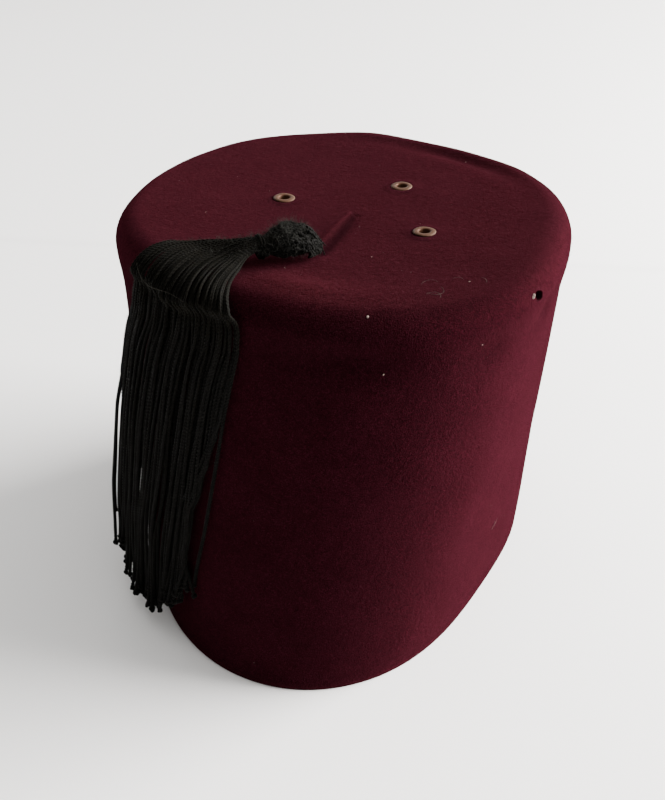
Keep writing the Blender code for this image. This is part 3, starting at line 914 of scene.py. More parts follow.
class FezBrass(bpy.types.PropertyGroup):
    """Brass of the eyelets"""

    colour: colour_property("Brass colour", "Colour of the rubbed brass", (0.050, 0.0214, 0.0082))
    tarnish_colour: colour_property(
        "Tarnish colour", "Colour of the brass in its hollows", (0.050, 0.018, 0.0056)
    )
    diameter: length_property("Eyelet diameter", "Outside diameter of an eyelet", 0.0085)
    bore: length_property("Bore", "Diameter of an eyelet's hole", 0.0043)
    rise: length_property("Rise", "Height of an eyelet's rim over the felt", 0.0006)
    sheet: length_property("Sheet", "Thickness of the brass", 0.0005)


class FezStudio(bpy.types.PropertyGroup):
    """Floor and light"""

    floor_colour: colour_property("Floor colour", "Colour of the floor", (0.945, 0.935, 0.92))
    backdrop_colour: colour_property(
        "Backdrop colour", "Colour of the floor's far part", (0.95, 0.94, 0.925)
    )
    key_power: light_property(
        "Key power", "Power of the soft light at the back right, in watts", 535.0
    )
    back_power: light_property(
        "Back power", "Power of the soft light at the back left, in watts", 4.0
    )
    top_power: light_property("Top power", "Power of the soft light overhead, in watts", 10.0)
    floor_power: light_property(
        "Floor power", "Power of the light on the floor at the right, in watts", 21.0
    )
    room_low: light_property("Room low", "Strength of the room's light from the front", 0.10)
    room_high: light_property(
        "Room high", "Strength of the room's light from the backdrop", 1.44
    )


class FezSettings(bpy.types.PropertyGroup):
    """All settings of the hat"""

    felt: bpy.props.PointerProperty(type=FezFelt, name="Felt", description="Felt of the cap")
    cord: bpy.props.PointerProperty(type=FezCord, name="Cord", description="Cords of the tassel")
    brass: bpy.props.PointerProperty(type=FezBrass, name="Brass", description="The eyelets' brass")
    studio: bpy.props.PointerProperty(type=FezStudio, name="Studio", description="Floor and light")


# Felt cap

FELT_COLUMNS = 306
FELT_ROWS = 144
# Shares of the grid's rows at which the crown, its rounded edge and the wall end
ROW_SHARES = (0, 0.34, 0.42, 1)
# Slow waves and the smaller ones on them, as waves a metre
WAVE_SCALE = 24.0
RIPPLE_SCALE = 61.0
# Reach of the stem's ridge to its two sides, and the place and reach of the dip beside it, which
# also takes painted shade, in its radius
RIDGE_NEAR = 0.92
RIDGE_FAR = 1.45
CREASE_PLACE = 0.85
CREASE_REACH = 0.80
STEM_RISE = 0.58
CREASE_DEPTH = 0.0008
PUFF_RISE = 0.00030
PUFF_PLACE = 0.0053
PUFF_REACH = 0.0014
HOLE_PLAY = 0.0003
MOTH_STRETCH = 1.55
BARE_PATCH = Place("bare_patch", 231.0, 1.985)
BARE_REACH = 0.0045
HEM_REACH = 0.0018
HEM_ROUND = 0.0007
# Stretches of the crown's edge that take a painted highlight: azimuth, way, their spreads, and how
# much
EDGE_HIGHLIGHTS = ((197.0, 0.985, 42.0, 0.06, 0.45), (352.0, 0.985, 40.0, 0.05, 0.30))


def waves(points, height):
    """Slow unevenness of felt at points."""
    lifts = []
    for point in map(Vector, points):
        ripple = noise.noise(point * RIPPLE_SCALE + Vector((3, 1, 7)))
        lifts.append(noise.noise(point * WAVE_SCALE) + 0.5 * ripple)
    return np.array(lifts) * height


def stem_shape(points):
    """Ridge of the felt's stem and the dip beside it, which also takes painted shade, as shares at
    points on the crown.
    """
    route = [felt_point(place.azimuth, place.way) for place in STEM_ROUTE]
    nearest = np.full(len(points), 1.0)
    side = np.ones(len(points))
    girth = np.ones(len(points))
    for start, end, first, last in zip(route, route[1:], STEM_GIRTHS, STEM_GIRTHS[1:]):
        step = (end - start)[:2]
        away = points[:, :2] - start[:2]
        share = np.clip(away @ step / (step @ step), 0, 1)
        apart = away - share[:, None] * step
        distance = np.linalg.norm(apart, axis=1)
        closer = distance < nearest
        nearest = np.where(closer, distance, nearest)
        side = np.where(closer, np.sign(step[0] * away[:, 1] - step[1] * away[:, 0]), side)
        girth = np.where(closer, first + (last - first) * share, girth)
    radius = girth * STEM_WIDTH / 2
    wide = radius * np.where(side > 0, RIDGE_NEAR, RIDGE_FAR)
    ridge = girth * np.exp(-((nearest / wide) ** 2.2))
    beside = (nearest * side - CREASE_PLACE * radius) / (CREASE_REACH * radius)
    return ridge, np.exp(-(beside**2))


def stem_height(points):
    """Height of the felt's stem, and depth of the dip beside it."""
    ridge, crease = stem_shape(points)
    return STEM_RISE * (STEM_WIDTH - STEM_SINK) * ridge - CREASE_DEPTH * crease


def eyelet_puff(points):
    """Height of the felt pressed under the eyelets and puffed round them."""
    lift = np.zeros(len(points))
    for place in EYELETS:
        away = np.linalg.norm(points - felt_point(place.azimuth, place.way), axis=1)
        lift += PUFF_RISE * np.exp(-(((away - PUFF_PLACE) / PUFF_REACH) ** 2))
    return lift


def build_felt_cap(settings):
    """Cap of felt from one grid, thickened, with its hem rounded and its stem raised."""
    deselect_all()
    bpy.ops.mesh.primitive_grid_add(
        x_subdivisions=FELT_COLUMNS, y_subdivisions=FELT_ROWS, size=1.0
    )
    cap = bpy.context.object
    cap.name = cap.data.name = "felt_cap"
    square = read_points(cap.data) + 0.5
    azimuth = square[:, 0] * 360.0
    way = np.interp(square[:, 1], ROW_SHARES, (0, CREASE_WAY, WALL_WAY, HEM_WAY))
    # The seam's two sides, and the centre's points, take the same wave
    base = felt_point(azimuth % 360.0, way)
    lift = waves(base, settings.waviness) * np.clip((HEM_WAY - way) / 0.05, 0, 1)
    write_points(cap.data, felt_point(azimuth % 360.0, way, lift))
    edit_all(
        cap,
        lambda: bpy.ops.mesh.remove_doubles(threshold=1e-5),
        lambda: bpy.ops.mesh.normals_make_consistent(inside=False),
    )
    top = max(cap.data.polygons, key=lambda face: face.center.z)
    if top.normal.z < 0:
        edit_all(cap, bpy.ops.mesh.flip_normals)
    apply_modifier(cap, "SOLIDIFY", thickness=FELT_THICKNESS, offset=-1, use_even_offset=True)
    apply_modifier(
        cap, "BEVEL", width=HEM_ROUND, segments=2, limit_method="ANGLE",
        angle_limit=math.radians(60), harden_normals=False,
    )
    points = read_points(cap.data)
    crown = HAT_HEIGHT - CROWN_DISH - FELT_THICKNESS / 2
    outside = points[:, 2] > crown
    points[:, 2] += np.where(outside, stem_height(points) + eyelet_puff(points), 0)
    points[:, 2] = np.maximum(points[:, 2], 0)
    write_points(cap.data, points)
    return cap


def cut_felt_holes(cap, brass):
    """Holes for the eyelets' barrels, and the moth hole."""
    cutters = []
    depth = 4 * FELT_THICKNESS
    for place in EYELETS:
        deselect_all()
        bpy.ops.mesh.primitive_cylinder_add(
            vertices=36, radius=brass.bore / 2 + brass.sheet + HOLE_PLAY, depth=depth
        )
        cutter = bpy.context.object
        cutter.matrix_world = place_matrix(place)
        cutters.append(cutter)
    deselect_all()
    radius = MOTH_HOLE_WIDTH / 2
    bpy.ops.mesh.primitive_cone_add(
        vertices=17, radius1=0.6 * radius, radius2=1.15 * radius, depth=depth
    )
    moth = bpy.context.object
    ragged = read_points(moth.data)
    for point in ragged:
        turn = math.atan2(point[1], point[0])
        reach = 1 + 0.28 * noise.noise((math.cos(turn) * 1.7, math.sin(turn) * 1.7, 5.0))
        point[:2] *= reach + 0.07 * math.sin(5 * turn)
        point[0] *= MOTH_STRETCH
    write_points(moth.data, ragged)
    moth.matrix_world = place_matrix(MOTH_HOLE)
    cutters.append(moth)
    for cutter in cutters:
        apply_modifier(cap, "BOOLEAN", operation="DIFFERENCE", object=cutter, solver="EXACT")
        bpy.data.objects.remove(cutter, do_unlink=True)


def under_tassel(azimuth, way):
    """Share of the felt that the tassel's cords cover, soft at their edges."""
    rows = STATION_ROWS[NECK_END:]
    back = np.interp(way, rows[:, 1], rows[:, 0])
    front = np.interp(way, rows[:, 3], rows[:, 2])
    share = np.clip((azimuth - back - 4.0) / 4.0, 0, 1)
    share = share * np.clip((front - azimuth - 1.5) / 3.0, 0, 1)
    return share * np.clip((way - 0.80) / 0.06, 0, 1) * np.clip((1.90 - way) / 0.08, 0, 1)


def mark_felt(cap):
    """Where the felt takes painted shade, painted highlights, wear, dust and bare wool, for its
    material.
    """
    points = read_points(cap.data)
    height = points[:, 2]
    azimuth, way = felt_place(points)
    outside = height > HAT_HEIGHT - CROWN_DISH - 0.8 * FELT_THICKNESS
    # Painted shade on the crown's top, 1 on the crown and 0 on the wall; the pills use it too
    set_attribute(cap.data, "soil", np.clip((1.02 - way) / 0.14, 0, 1))
    # Painted shade: the dip beside the stem, the felt under the tassel's cords and the dents are
    # darkened
    ridge, crease = (shape * (way < 0.6) * outside for shape in stem_shape(points))
    painted_shade = 1.05 * crease + 0.85 * under_tassel(azimuth, way)
    # Painted highlight on the stem's ridge, away from its shaded dip
    raised = 0.60 * ridge * (1 - crease)
    # Dents take painted shade, and bulges a painted highlight
    for dent in DENTS:
        spot = near_place(azimuth, way, dent[1:3], dent.spread_azimuth, dent.spread_way)
        painted_shade = painted_shade + 2.6 * max(dent.depth, 0) * spot
        raised = raised + 3.0 * max(-dent.depth, 0) * spot
    # Painted highlights on stretches of the crown's edge
    for *place, spread_azimuth, spread_way, much in EDGE_HIGHLIGHTS:
        raised = raised + much * near_place(azimuth, way, place, spread_azimuth, spread_way)
    set_attribute(cap.data, "crease", np.clip(painted_shade, 0, 1))
    # Wear lightens the hem; the painted highlights join it here
    hem = np.exp(-((height / HEM_REACH) ** 2))
    set_attribute(cap.data, "rub", np.clip(raised + 0.5 * hem, 0, 1))
    set_attribute(cap.data, "dust", np.clip((height - 0.02) / 0.13, 0.15, 1))
    away = np.linalg.norm(points - felt_point(BARE_PATCH.azimuth, BARE_PATCH.way), axis=1)
    set_attribute(cap.data, "bare", 0.75 * np.exp(-((away / BARE_REACH) ** 2)))


class FEZ_OT_felt_cap(bpy.types.Operator):
    """Block the felt cap, with its stem, creases and holes"""

    bl_idname = "fez.felt_cap"
    bl_label = "Felt cap"

    def execute(self, context):
        settings = context.scene.fez
        cap = build_felt_cap(settings.felt)
        cut_felt_holes(cap, settings.brass)
        mark_felt(cap)
        choose(cap)
        bpy.ops.object.shade_smooth_by_angle(angle=math.radians(55))
        dress(cap, felt_finish(settings.felt), "felt", "felt_body")
        return {"FINISHED"}


FUZZ_THICKNESS = 0.00005
CROWN_SHARE = 0.24
LONG_ONE_IN = 60
LONG_FUZZ = 2.6


class FEZ_OT_felt_fuzz(bpy.types.Operator):
    """Stand short loose fibres over the felt"""

    bl_idname = "fez.felt_fuzz"
    bl_label = "Felt fuzz"

    def execute(self, context):
        settings = context.scene.fez.felt
        chance = np.random.default_rng(FELT_FUZZ_SEED)
        count = settings.fuzz_count
        azimuth = chance.uniform(0, 360, count)
        on_crown = chance.random(count) < CROWN_SHARE
        way = np.where(
            on_crown,
            0.98 * np.sqrt(chance.random(count)),
            chance.uniform(0.98, HEM_WAY, count),
        )
        roots = felt_point(azimuth, way, -0.0001)
        outward = felt_normal(azimuth, way)
        lying = np.cross(outward, chance.normal(0, 1, (count, 3)))
        lying /= np.linalg.norm(lying, axis=1, keepdims=True)
        out = lying + outward * chance.uniform(0.25, 1.1, (count, 1))
        out /= np.linalg.norm(out, axis=1, keepdims=True)
        lengths = settings.fuzz_length * chance.uniform(0.5, 1.5, count)
        lengths[: count // LONG_ONE_IN] *= LONG_FUZZ
        fuzz = fibre_piece("felt_fuzz", roots, out, lengths, FUZZ_THICKNESS, chance)
        finish = fuzz_finish("loose_felt_fibres", shade(settings.colour, 1.1), settings.wear_and_highlight_colour)
        dress(fuzz, finish, "felt")
        return {"FINISHED"}


# Lint: azimuth, way, size in metres, and whether it is a chip, a curl or a torn bit
Lint = namedtuple("Lint", "azimuth way size kind")
LINTS = (
    Lint(300.0, 0.475, 0.0005, "chip"),
    Lint(293.0, 0.945, 0.0011, "chip"),
    Lint(296.0, 1.114, 0.0006, "chip"),
    Lint(311.0, 0.760, 0.0030, "curl"),
    Lint(308.5, 0.850, 0.0026, "curl"),
    Lint(309.5, 0.812, 0.0034, "curl"),
    Lint(320.0, 0.817, 0.0006, "chip"),
    Lint(322.0, 0.845, 0.0024, "curl"),
    Lint(318.0, 0.790, 0.0022, "curl"),
    Lint(316.0, 1.080, 0.0005, "chip"),
    Lint(339.0, 1.743, 0.0028, "curl"),
    Lint(337.5, 1.752, 0.0022, "curl"),
    Lint(206.0, 0.62, 0.0004, "chip"),
    Lint(45.0, 0.50, 0.0004, "chip"),
    Lint(64.0, 0.84, 0.0005, "chip"),
)
# Torn bits beside the moth hole
TORN = tuple(
    Lint(MOTH_HOLE.azimuth - turn, MOTH_HOLE.way - drop, size, "torn")
    for turn, drop, size in ((2.20, 0.010, 0.0012), (1.80, 0.013, 0.0010), (2.50, 0.008, 0.0009))
)
CHIP_THICKNESS = 0.35
TORN_THICKNESS = 1.0
CHIP_LIFT = 0.12
CURL_POINTS = 16
CURL_RADIUS = 0.00004


class FEZ_OT_lint(bpy.types.Operator):
    """Scatter pale chips and curls of lint, and the torn bits at the moth hole"""

    bl_idname = "fez.lint"
    bl_label = "Lint"

    def execute(self, context):
        settings = context.scene.fez.felt
        chance = np.random.default_rng(LINT_SEED)
        chips = [lint for lint in LINTS if lint.kind == "chip"]
        for azimuth, way in zip(chance.uniform(0, 360, 46), 0.97 * np.sqrt(chance.random(46))):
            chips.append(Lint(azimuth, way, chance.uniform(0.00014, 0.00028), "chip"))
        for azimuth, way in zip(chance.uniform(0, 360, 40), chance.uniform(1.1, 1.95, 40)):
            chips.append(Lint(azimuth, way, chance.uniform(0.00014, 0.00027), "chip"))
        made = [self.chip(lint, chance) for lint in (*chips, *TORN)]
        deselect_all()
        for chip in made:
            chip.select_set(True)
        bpy.context.view_layer.objects.active = made[0]
        bpy.ops.object.join()
        lint = bpy.context.object
        lint.name = lint.data.name = "lint_chips"
        apply_place(lint)
        bpy.ops.object.shade_smooth()
        dress(lint, lint_finish("pale_lint", settings.dust_colour), "felt")
        routes = []
        for curl in (lint for lint in LINTS if lint.kind == "curl"):
            angle = np.linspace(0, chance.uniform(1.6, 3.4), CURL_POINTS) + chance.uniform(0, 6)
            reach = curl.size * np.linspace(0.8, 1.1, CURL_POINTS)
            spot = place_matrix(curl, 0.0003)
            line = [
                spot @ Vector((r * math.cos(a), r * math.sin(a), 0.0002 * math.sin(2 * a)))
                for r, a in zip(reach, angle)
            ]
            routes.append((np.array(line), (0.5, 1.0, 1.0, 0.4)))
        curls = round_tubes("lint_curls", routes, CURL_RADIUS)
        dress(curls, lint_finish("faint_lint", shade(settings.dust_colour, 0.32)), "felt")
        return {"FINISHED"}

    def chip(self, lint, chance):
        """One uneven chip that lies on the felt."""
        thick = TORN_THICKNESS if lint.kind == "torn" else CHIP_THICKNESS
        deselect_all()
        bpy.ops.mesh.primitive_ico_sphere_add(
            subdivisions=2 if lint.size > 0.0005 else 1, radius=0.5
        )
        chip = bpy.context.object
        points = read_points(chip.data)
        shift = Vector((lint.azimuth, lint.way, 0))
        for point in points:
            point *= 1 + 0.5 * noise.noise(Vector(point) * 2.4 + shift)
        points *= lint.size * np.array([1.0, chance.uniform(0.5, 0.9), thick])
        write_points(chip.data, points)
        spin = Matrix.Rotation(chance.uniform(0, math.tau), 4, "Z")
        chip.matrix_world = place_matrix(lint, lint.size * CHIP_LIFT) @ spin
        return chip


# Eyelets

RIM_START = 0.52
RIM_SPREAD = 0.25
EYELET_SEAT = 0.0003
EYELET_DENT = 3e-5
DENT_SCALE = 700
DENT_SHIFTS = (0.0, 5.3, 9.7)


class FEZ_OT_eyelets(bpy.types.Operator):
    """Spin the four brass eyelets and press them through the felt"""

    bl_idname = "fez.eyelets"
    bl_label = "Eyelets"

    def execute(self, context):
        brass = context.scene.fez.brass
        material = brass_finish(brass)
        for number, place in enumerate(EYELETS):
            eyelet = self.spin(place.name + "_brass", brass)
            points = read_points(eyelet.data)
            reach = np.hypot(points[:, 0], points[:, 1])
            rim = np.clip((reach / (brass.diameter / 2) - RIM_START) / RIM_SPREAD, 0, 1)
            set_attribute(eyelet.data, "rim", rim * (points[:, 2] > 0))
            angle = np.arctan2(points[:, 1], points[:, 0])
            points[:, 0] *= 1.0 + 0.012 * math.sin(number * 2.1)
            points[:, 2] += 0.00005 * np.sin(3 * angle + number) * (reach > 0.003)
            for point in points:
                at = Vector(point) * DENT_SCALE + Vector((number, 0, 0))
                # noise.noise_vector would differ from run to run
                dent = [noise.noise(at + Vector((0, shift, 0))) for shift in DENT_SHIFTS]
                point += np.array(dent) * EYELET_DENT
            write_points(eyelet.data, points)
            eyelet.matrix_world = place_matrix(place)
            apply_place(eyelet)
            bpy.ops.object.shade_smooth_by_angle(angle=math.radians(50))
            dress(eyelet, material, "brass", place.name)
        return {"FINISHED"}

    def spin(self, name, brass):
        """One turned eyelet: rolled rim, barrel and an edge turned over inside."""
        bore, rim = brass.bore / 2, brass.diameter / 2
        barrel = bore + brass.sheet
        seat = EYELET_SEAT
        back = -FELT_THICKNESS - seat
        # Over the rim, as shares of its width and of its rise
        over = (
            (0, 0.20), (0.05, 0.62), (0.16, 0.86), (0.32, 0.98), (0.52, 1), (0.74, 0.90),
            (0.90, 0.66), (1, 0.34), (1, 0.08),
        )
        section = [(bore, back - brass.sheet)]
        section += [
            (bore + wide * (rim - bore), seat + high * brass.rise) for wide, high in over
        ]
        section += [
            (rim - 0.0002, seat - 0.0002), (barrel + 0.0002, seat - 0.0002),
            (barrel, seat - 0.0004), (barrel, back + 0.0002), (barrel + 0.0009, back),
            (barrel + 0.0012, back - 0.5 * brass.sheet), (barrel + 0.0009, back - brass.sheet),
        ]
        mesh = bpy.data.meshes.new(name)
        count = len(section)
        mesh.from_pydata(
            [(radius, 0, height) for radius, height in section],
            [(index, (index + 1) % count) for index in range(count)], [],
        )
        eyelet = new_object(name, mesh)
        edit_all(
            eyelet,
            lambda: bpy.ops.mesh.spin(
                steps=48, angle=math.tau, center=(0, 0, 0), axis=(0, 0, 1), use_auto_merge=True
            ),
            lambda: bpy.ops.mesh.select_all(action="SELECT"),
            lambda: bpy.ops.mesh.remove_doubles(threshold=1e-6),
            lambda: bpy.ops.mesh.normals_make_consistent(inside=False),
        )
        return eyelet


# Tassel

# Shares across the tassel of the cords that hang free at its back edge, and of one at its front
LOOSE_CORDS = (0.0, 0.030)
LONE_CORD = 1.0
LOOSE_LIFT = 0.0015
# Layers from the outside inwards: share of the cords, height in the tassel, swing and girth
CORD_LAYERS = ((0.46, 0.97, 1.0, 1.0), (0.32, 0.58, 0.45, 1.30), (0.22, 0.15, 0.30, 1.40))
CORD_POINTS = 260
CORD_JITTER = 0.32
# Shares across that the other cords keep between, by part of the way down: least and most
BACK_EDGE = ((0.63, 0.0), (0.69, 0.080), (0.89, 0.085), (0.97, 0.13))
FRONT_EDGE = ((0.62, 1.0), (0.78, 0.90), (0.88, 0.91), (0.95, 1.0))
# Share that the cords are drawn in at the back edge, and spread out at the front edge, by station
FAN_TUCK = (
    (NECK_END, 0.0), (SHOULDER, 0.07), (EDGE, 0.125), (EDGE + 1, 0.09), (EDGE + 2, 0.03),
    (EDGE + 3, 0.0),
)
FAN_SPILL = ((EDGE - 0.4, 0.0), (EDGE + 0.7, 0.040), (EDGE + 1.2, 0.036), (EDGE + 2.4, 0.0))
CORD_GIRTHS = (0.50, 0.56, 0.80, 1.0)
# The fan's swell over the crown's edge: height, lobe's place and reach, spread before and after
OVERHANG = 0.0040
LOBE_PLACE = 0.52
LOBE_REACH = 0.16
SWELL_BEFORE = 0.80
SWELL_AFTER = 0.19
# Tips: how far their heights vary, how many are short and by how much, and how long they curl
TIP_VARIES = 0.0024
SHORT_CHANCE = 0.2
SHORT_BY = 0.008
TIP_CURL = 0.028
# Groups of cords: name, sides, rings and least share of dust and painted shade
CORD_GROUPS = (
    ("tassel_cords_1", 8, 6, 0.05), ("tassel_cords_2", 8, 6, 0.05),
    ("tassel_cords_3", 6, 4, 0.0), ("tassel_cords_4", 8, 6, 0.45),
)
KNOT_TUBE = 0.33


def by_stops(value, stops):
    """Value between stops of position and value."""
    return np.interp(value, *zip(*stops))


def tip_height(across):
    """Height of a cord's tip over the floor at a share across the tassel."""
    centres = (np.arange(len(TIP_SHARES)) + 0.5) / len(TIP_SHARES)
    return TIP_HEIGHT + TIP_SCATTER * np.interp(across, centres, TIP_SHARES)


def overhang(position, across):
    """Height of the fan's swell over the crown's edge, which ends in a sharp drop."""
    lobe = np.exp(-(((across - LOBE_PLACE) / LOBE_REACH) ** 2))
    away = position - (EDGE + 0.02 + 0.16 * lobe)
    spread = np.where(away < 0, SWELL_BEFORE, SWELL_AFTER)
    return OVERHANG * (1 + 0.22 * lobe) * np.exp(-((away / spread) ** 2))


def cord_route(start, across, layer, radius, phase, chance):
    """Line and girths of one cord, from a share across the fan to a share across the skirt."""
    _, share, swing, thick = CORD_LAYERS[layer]
    position = np.linspace(NECK - 0.8, LAST, CORD_POINTS)
    free = np.clip((position - NECK_END) / (LAST - NECK_END), 0, 1)
    loose = across in LOOSE_CORDS
    drift = chance.normal(0, 0.018)
    sway = 0.030 * wander(phase, free, 3.2) + 0.012 * wander(phase + 40, free, 9.0)
    down = np.clip((position - SHOULDER) / 3, 0, 1)
    down = down * down * (3 - 2 * down)
    here = start + (across - start) * down
    if loose:
        here = here - 0.015 * np.clip((free - 0.62) / 0.07, 0, 1)
        apart = -0.09 if across == 0 else 0.10
        here = here + apart * np.clip((free - 0.84) / 0.12, 0, 1) ** 1.4
    elif across != LONE_CORD:
        # The others keep clear of the loose cords, so that thin gaps show
        least, most = by_stops(free, BACK_EDGE), by_stops(free, FRONT_EDGE)
        here = here + swing * (drift + sway) * np.sqrt(free)
        here = least + np.abs(here - least)
        here = most - np.abs(most - here)
    spill = by_stops(position, FAN_SPILL) * np.clip(here, 0, 1) ** 3
    here = here + by_stops(position, FAN_TUCK) * (1 - here) + spill
    share = share + 0.70 * (0.95 - share) * np.clip(EDGE + 1 - position, 0, 1)
    depth = np.clip(share + 0.45 * wander(phase + 80, free, 4.0) * free, 0, 1.15)
    uneven = 1 + 0.11 * wander(phase + 120, free, 2.0)
    rise = overhang(position, start) * (0.55 + 0.45 * share) * uneven
    if loose:
        rise = rise + LOOSE_LIFT * np.clip((free - 0.64) / 0.07, 0, 1)
    line = tassel_points(position, here, depth, inset=radius, rise=rise)
    short = SHORT_BY * chance.random() if chance.random() < SHORT_CHANCE else 0.0
    low = tip_height(across) + abs(chance.normal(0, TIP_VARIES)) + short
    if loose:
        low = tip_height(across) + 0.007 - 0.012 * LOOSE_CORDS.index(across)
    line = line[line[:, 2] > low]
    # The last stretch of a free cord curls a little to one side
    last = np.clip((low + TIP_CURL - line[:, 2]) / TIP_CURL, 0, 1) ** 2
    outward = felt_normal(240.0, 1.6)
    curl = outward * abs(chance.normal(0, 0.0016))
    curl = curl + np.cross(outward, (0, 0, 1)) * chance.normal(0, 0.0014)
    line = line + last[:, None] * curl
    along = (NECK - 1, NECK_END, SHOULDER, SHOULDER + 2)
    hidden, neck, shoulder, whole = CORD_GIRTHS
    girths = np.interp(position[: len(line)], along, (hidden, neck, shoulder * thick, whole))
    return line, girths


# Most dust and painted shade on the head, and the height over which they come in on the cords
HEAD_DUST_AND_SHADE = 0.2
DUST_AND_SHADE_HEIGHT = 0.125
DUST_AND_SHADE_FADE = 0.02


def mark_dust_and_shade(piece, least=0.05, most=1.0):
    """Dust and painted shade on cords that lie on the crown, darker and olive, for their material.
    """
    height = read_points(piece.data)[:, 2]
    bloom = np.clip((height - DUST_AND_SHADE_HEIGHT) / DUST_AND_SHADE_FADE, least, most)
    set_attribute(piece.data, "bloom", bloom)


class FEZ_OT_tassel_cords(bpy.types.Operator):
    """Lay the twisted cords over the crown's edge and knot their tips"""

    bl_idname = "fez.tassel_cords"
    bl_label = "Tassel cords"

    def execute(self, context):
        cord = context.scene.fez.cord
        chance = np.random.default_rng(CORD_SEED)
        radius = cord.diameter / 2
        material = cord_finish(cord)
        outer, dusty_shaded, inner, knots = [], [], [], []
        for layer, (part, _, swing, _) in enumerate(CORD_LAYERS):
            count = int(round(cord.count * part))
            for index in range(count):
                jitter = chance.uniform(-CORD_JITTER, CORD_JITTER) * swing
                start = (index + 0.5 + jitter) / count
                across = 0.015 + 0.985 * start
                if layer == 0 and index < len(LOOSE_CORDS):
                    across = LOOSE_CORDS[index]
                elif layer == 0 and index == count - 1:
                    across = LONE_CORD
                phase = 13.7 * layer + 1.9 * index
                route = cord_route(start, across, layer, radius, phase, chance)
                # Every seventh outer cord takes the darker, dusty finish all along
                kind = inner if layer else dusty_shaded if index % 7 == 4 else outer
                kind.append(route)
                width = cord.knot_width * chance.uniform(0.85, 1.15)
                centre = route[0][-1] - np.array([0, 0, 0.25 * width])
                size = (width - cord.diameter * 0.7) / 2
                knot = knot_route(centre, size, chance.uniform(0, 6), chance.uniform(0, 3))
                knots.append((knot, (1.0, 1.0)))
        groups = (outer[0::2], outer[1::2], inner, dusty_shaded)
        for (name, sides, rings, bloom), routes in zip(CORD_GROUPS, groups):
            piece = twist_cords(name, routes, radius, cord.pitch, sides, rings)
            mark_dust_and_shade(piece, bloom)
            dress(piece, material, "black_cord", *(["tassel"] if name.endswith("1") else []))
        tips = round_tubes("tassel_knots", knots, cord.diameter * KNOT_TUBE, closed=True)
        mark_dust_and_shade(tips)
        dress(tips, material, "black_cord")
        return {"FINISHED"}


# Lumps of the head: station, turn, reach along it in stations and height in metres
LUMPS = (
    (1.6, 0.9, 0.6, 0.0005), (2.7, 1.5, 0.6, 0.0006), (0.7, 2.7, 0.5, 0.0008),
    (2.9, 0.5, 0.5, 0.0006), (1.0, 1.6, 0.4, 0.0006), (2.0, 2.2, 0.45, 0.0006),
)
LUMP_WIDTH = 0.7
HEAD_STRANDS = 34
# Stations of the cords that lie round the head
WRAPS = (0.7, 1.5, 2.4)
# Slack bights that lie open on top: station, turn, reach along and round, and first angle
BIGHTS = (
    (1.2, 1.2, 0.60, 0.75, 0.3), (2.1, 1.7, 0.55, 0.70, 2.6), (1.7, 0.6, 0.50, 0.60, 4.4),
    (0.9, 2.3, 0.50, 0.60, 1.4),
)
BIGHT_POINTS = 34
FRAYED_ENDS = 7
# How deep each sort of cord lies in the head
STRAND_SINK = 0.0021
WRAP_SINK = 0.0020
BIGHT_SINK = 0.0016
CORE_SINK = 0.0024


def head_line(position, turn, lift):
    """Line over the tassel's head, at turns round it and a lift over it."""
    turn = np.asarray(turn) % math.tau
    across = np.where(turn < math.pi, turn / math.pi, 2 - turn / math.pi)
    return tassel_points(position, across, (turn < math.pi) * 1.0, inset=-lift)


def head_lumps(position, turn):
    """Lumps of the tassel's head, where its cords are bunched."""
    lumps = 0.0
    for place, angle, reach, height in LUMPS:
        away = (np.asarray(turn) - angle + math.pi) % math.tau - math.pi
        fall = ((position - place) / reach) ** 2 + (away / LUMP_WIDTH) ** 2
        lumps = lumps + height * np.exp(-fall)
    return lumps


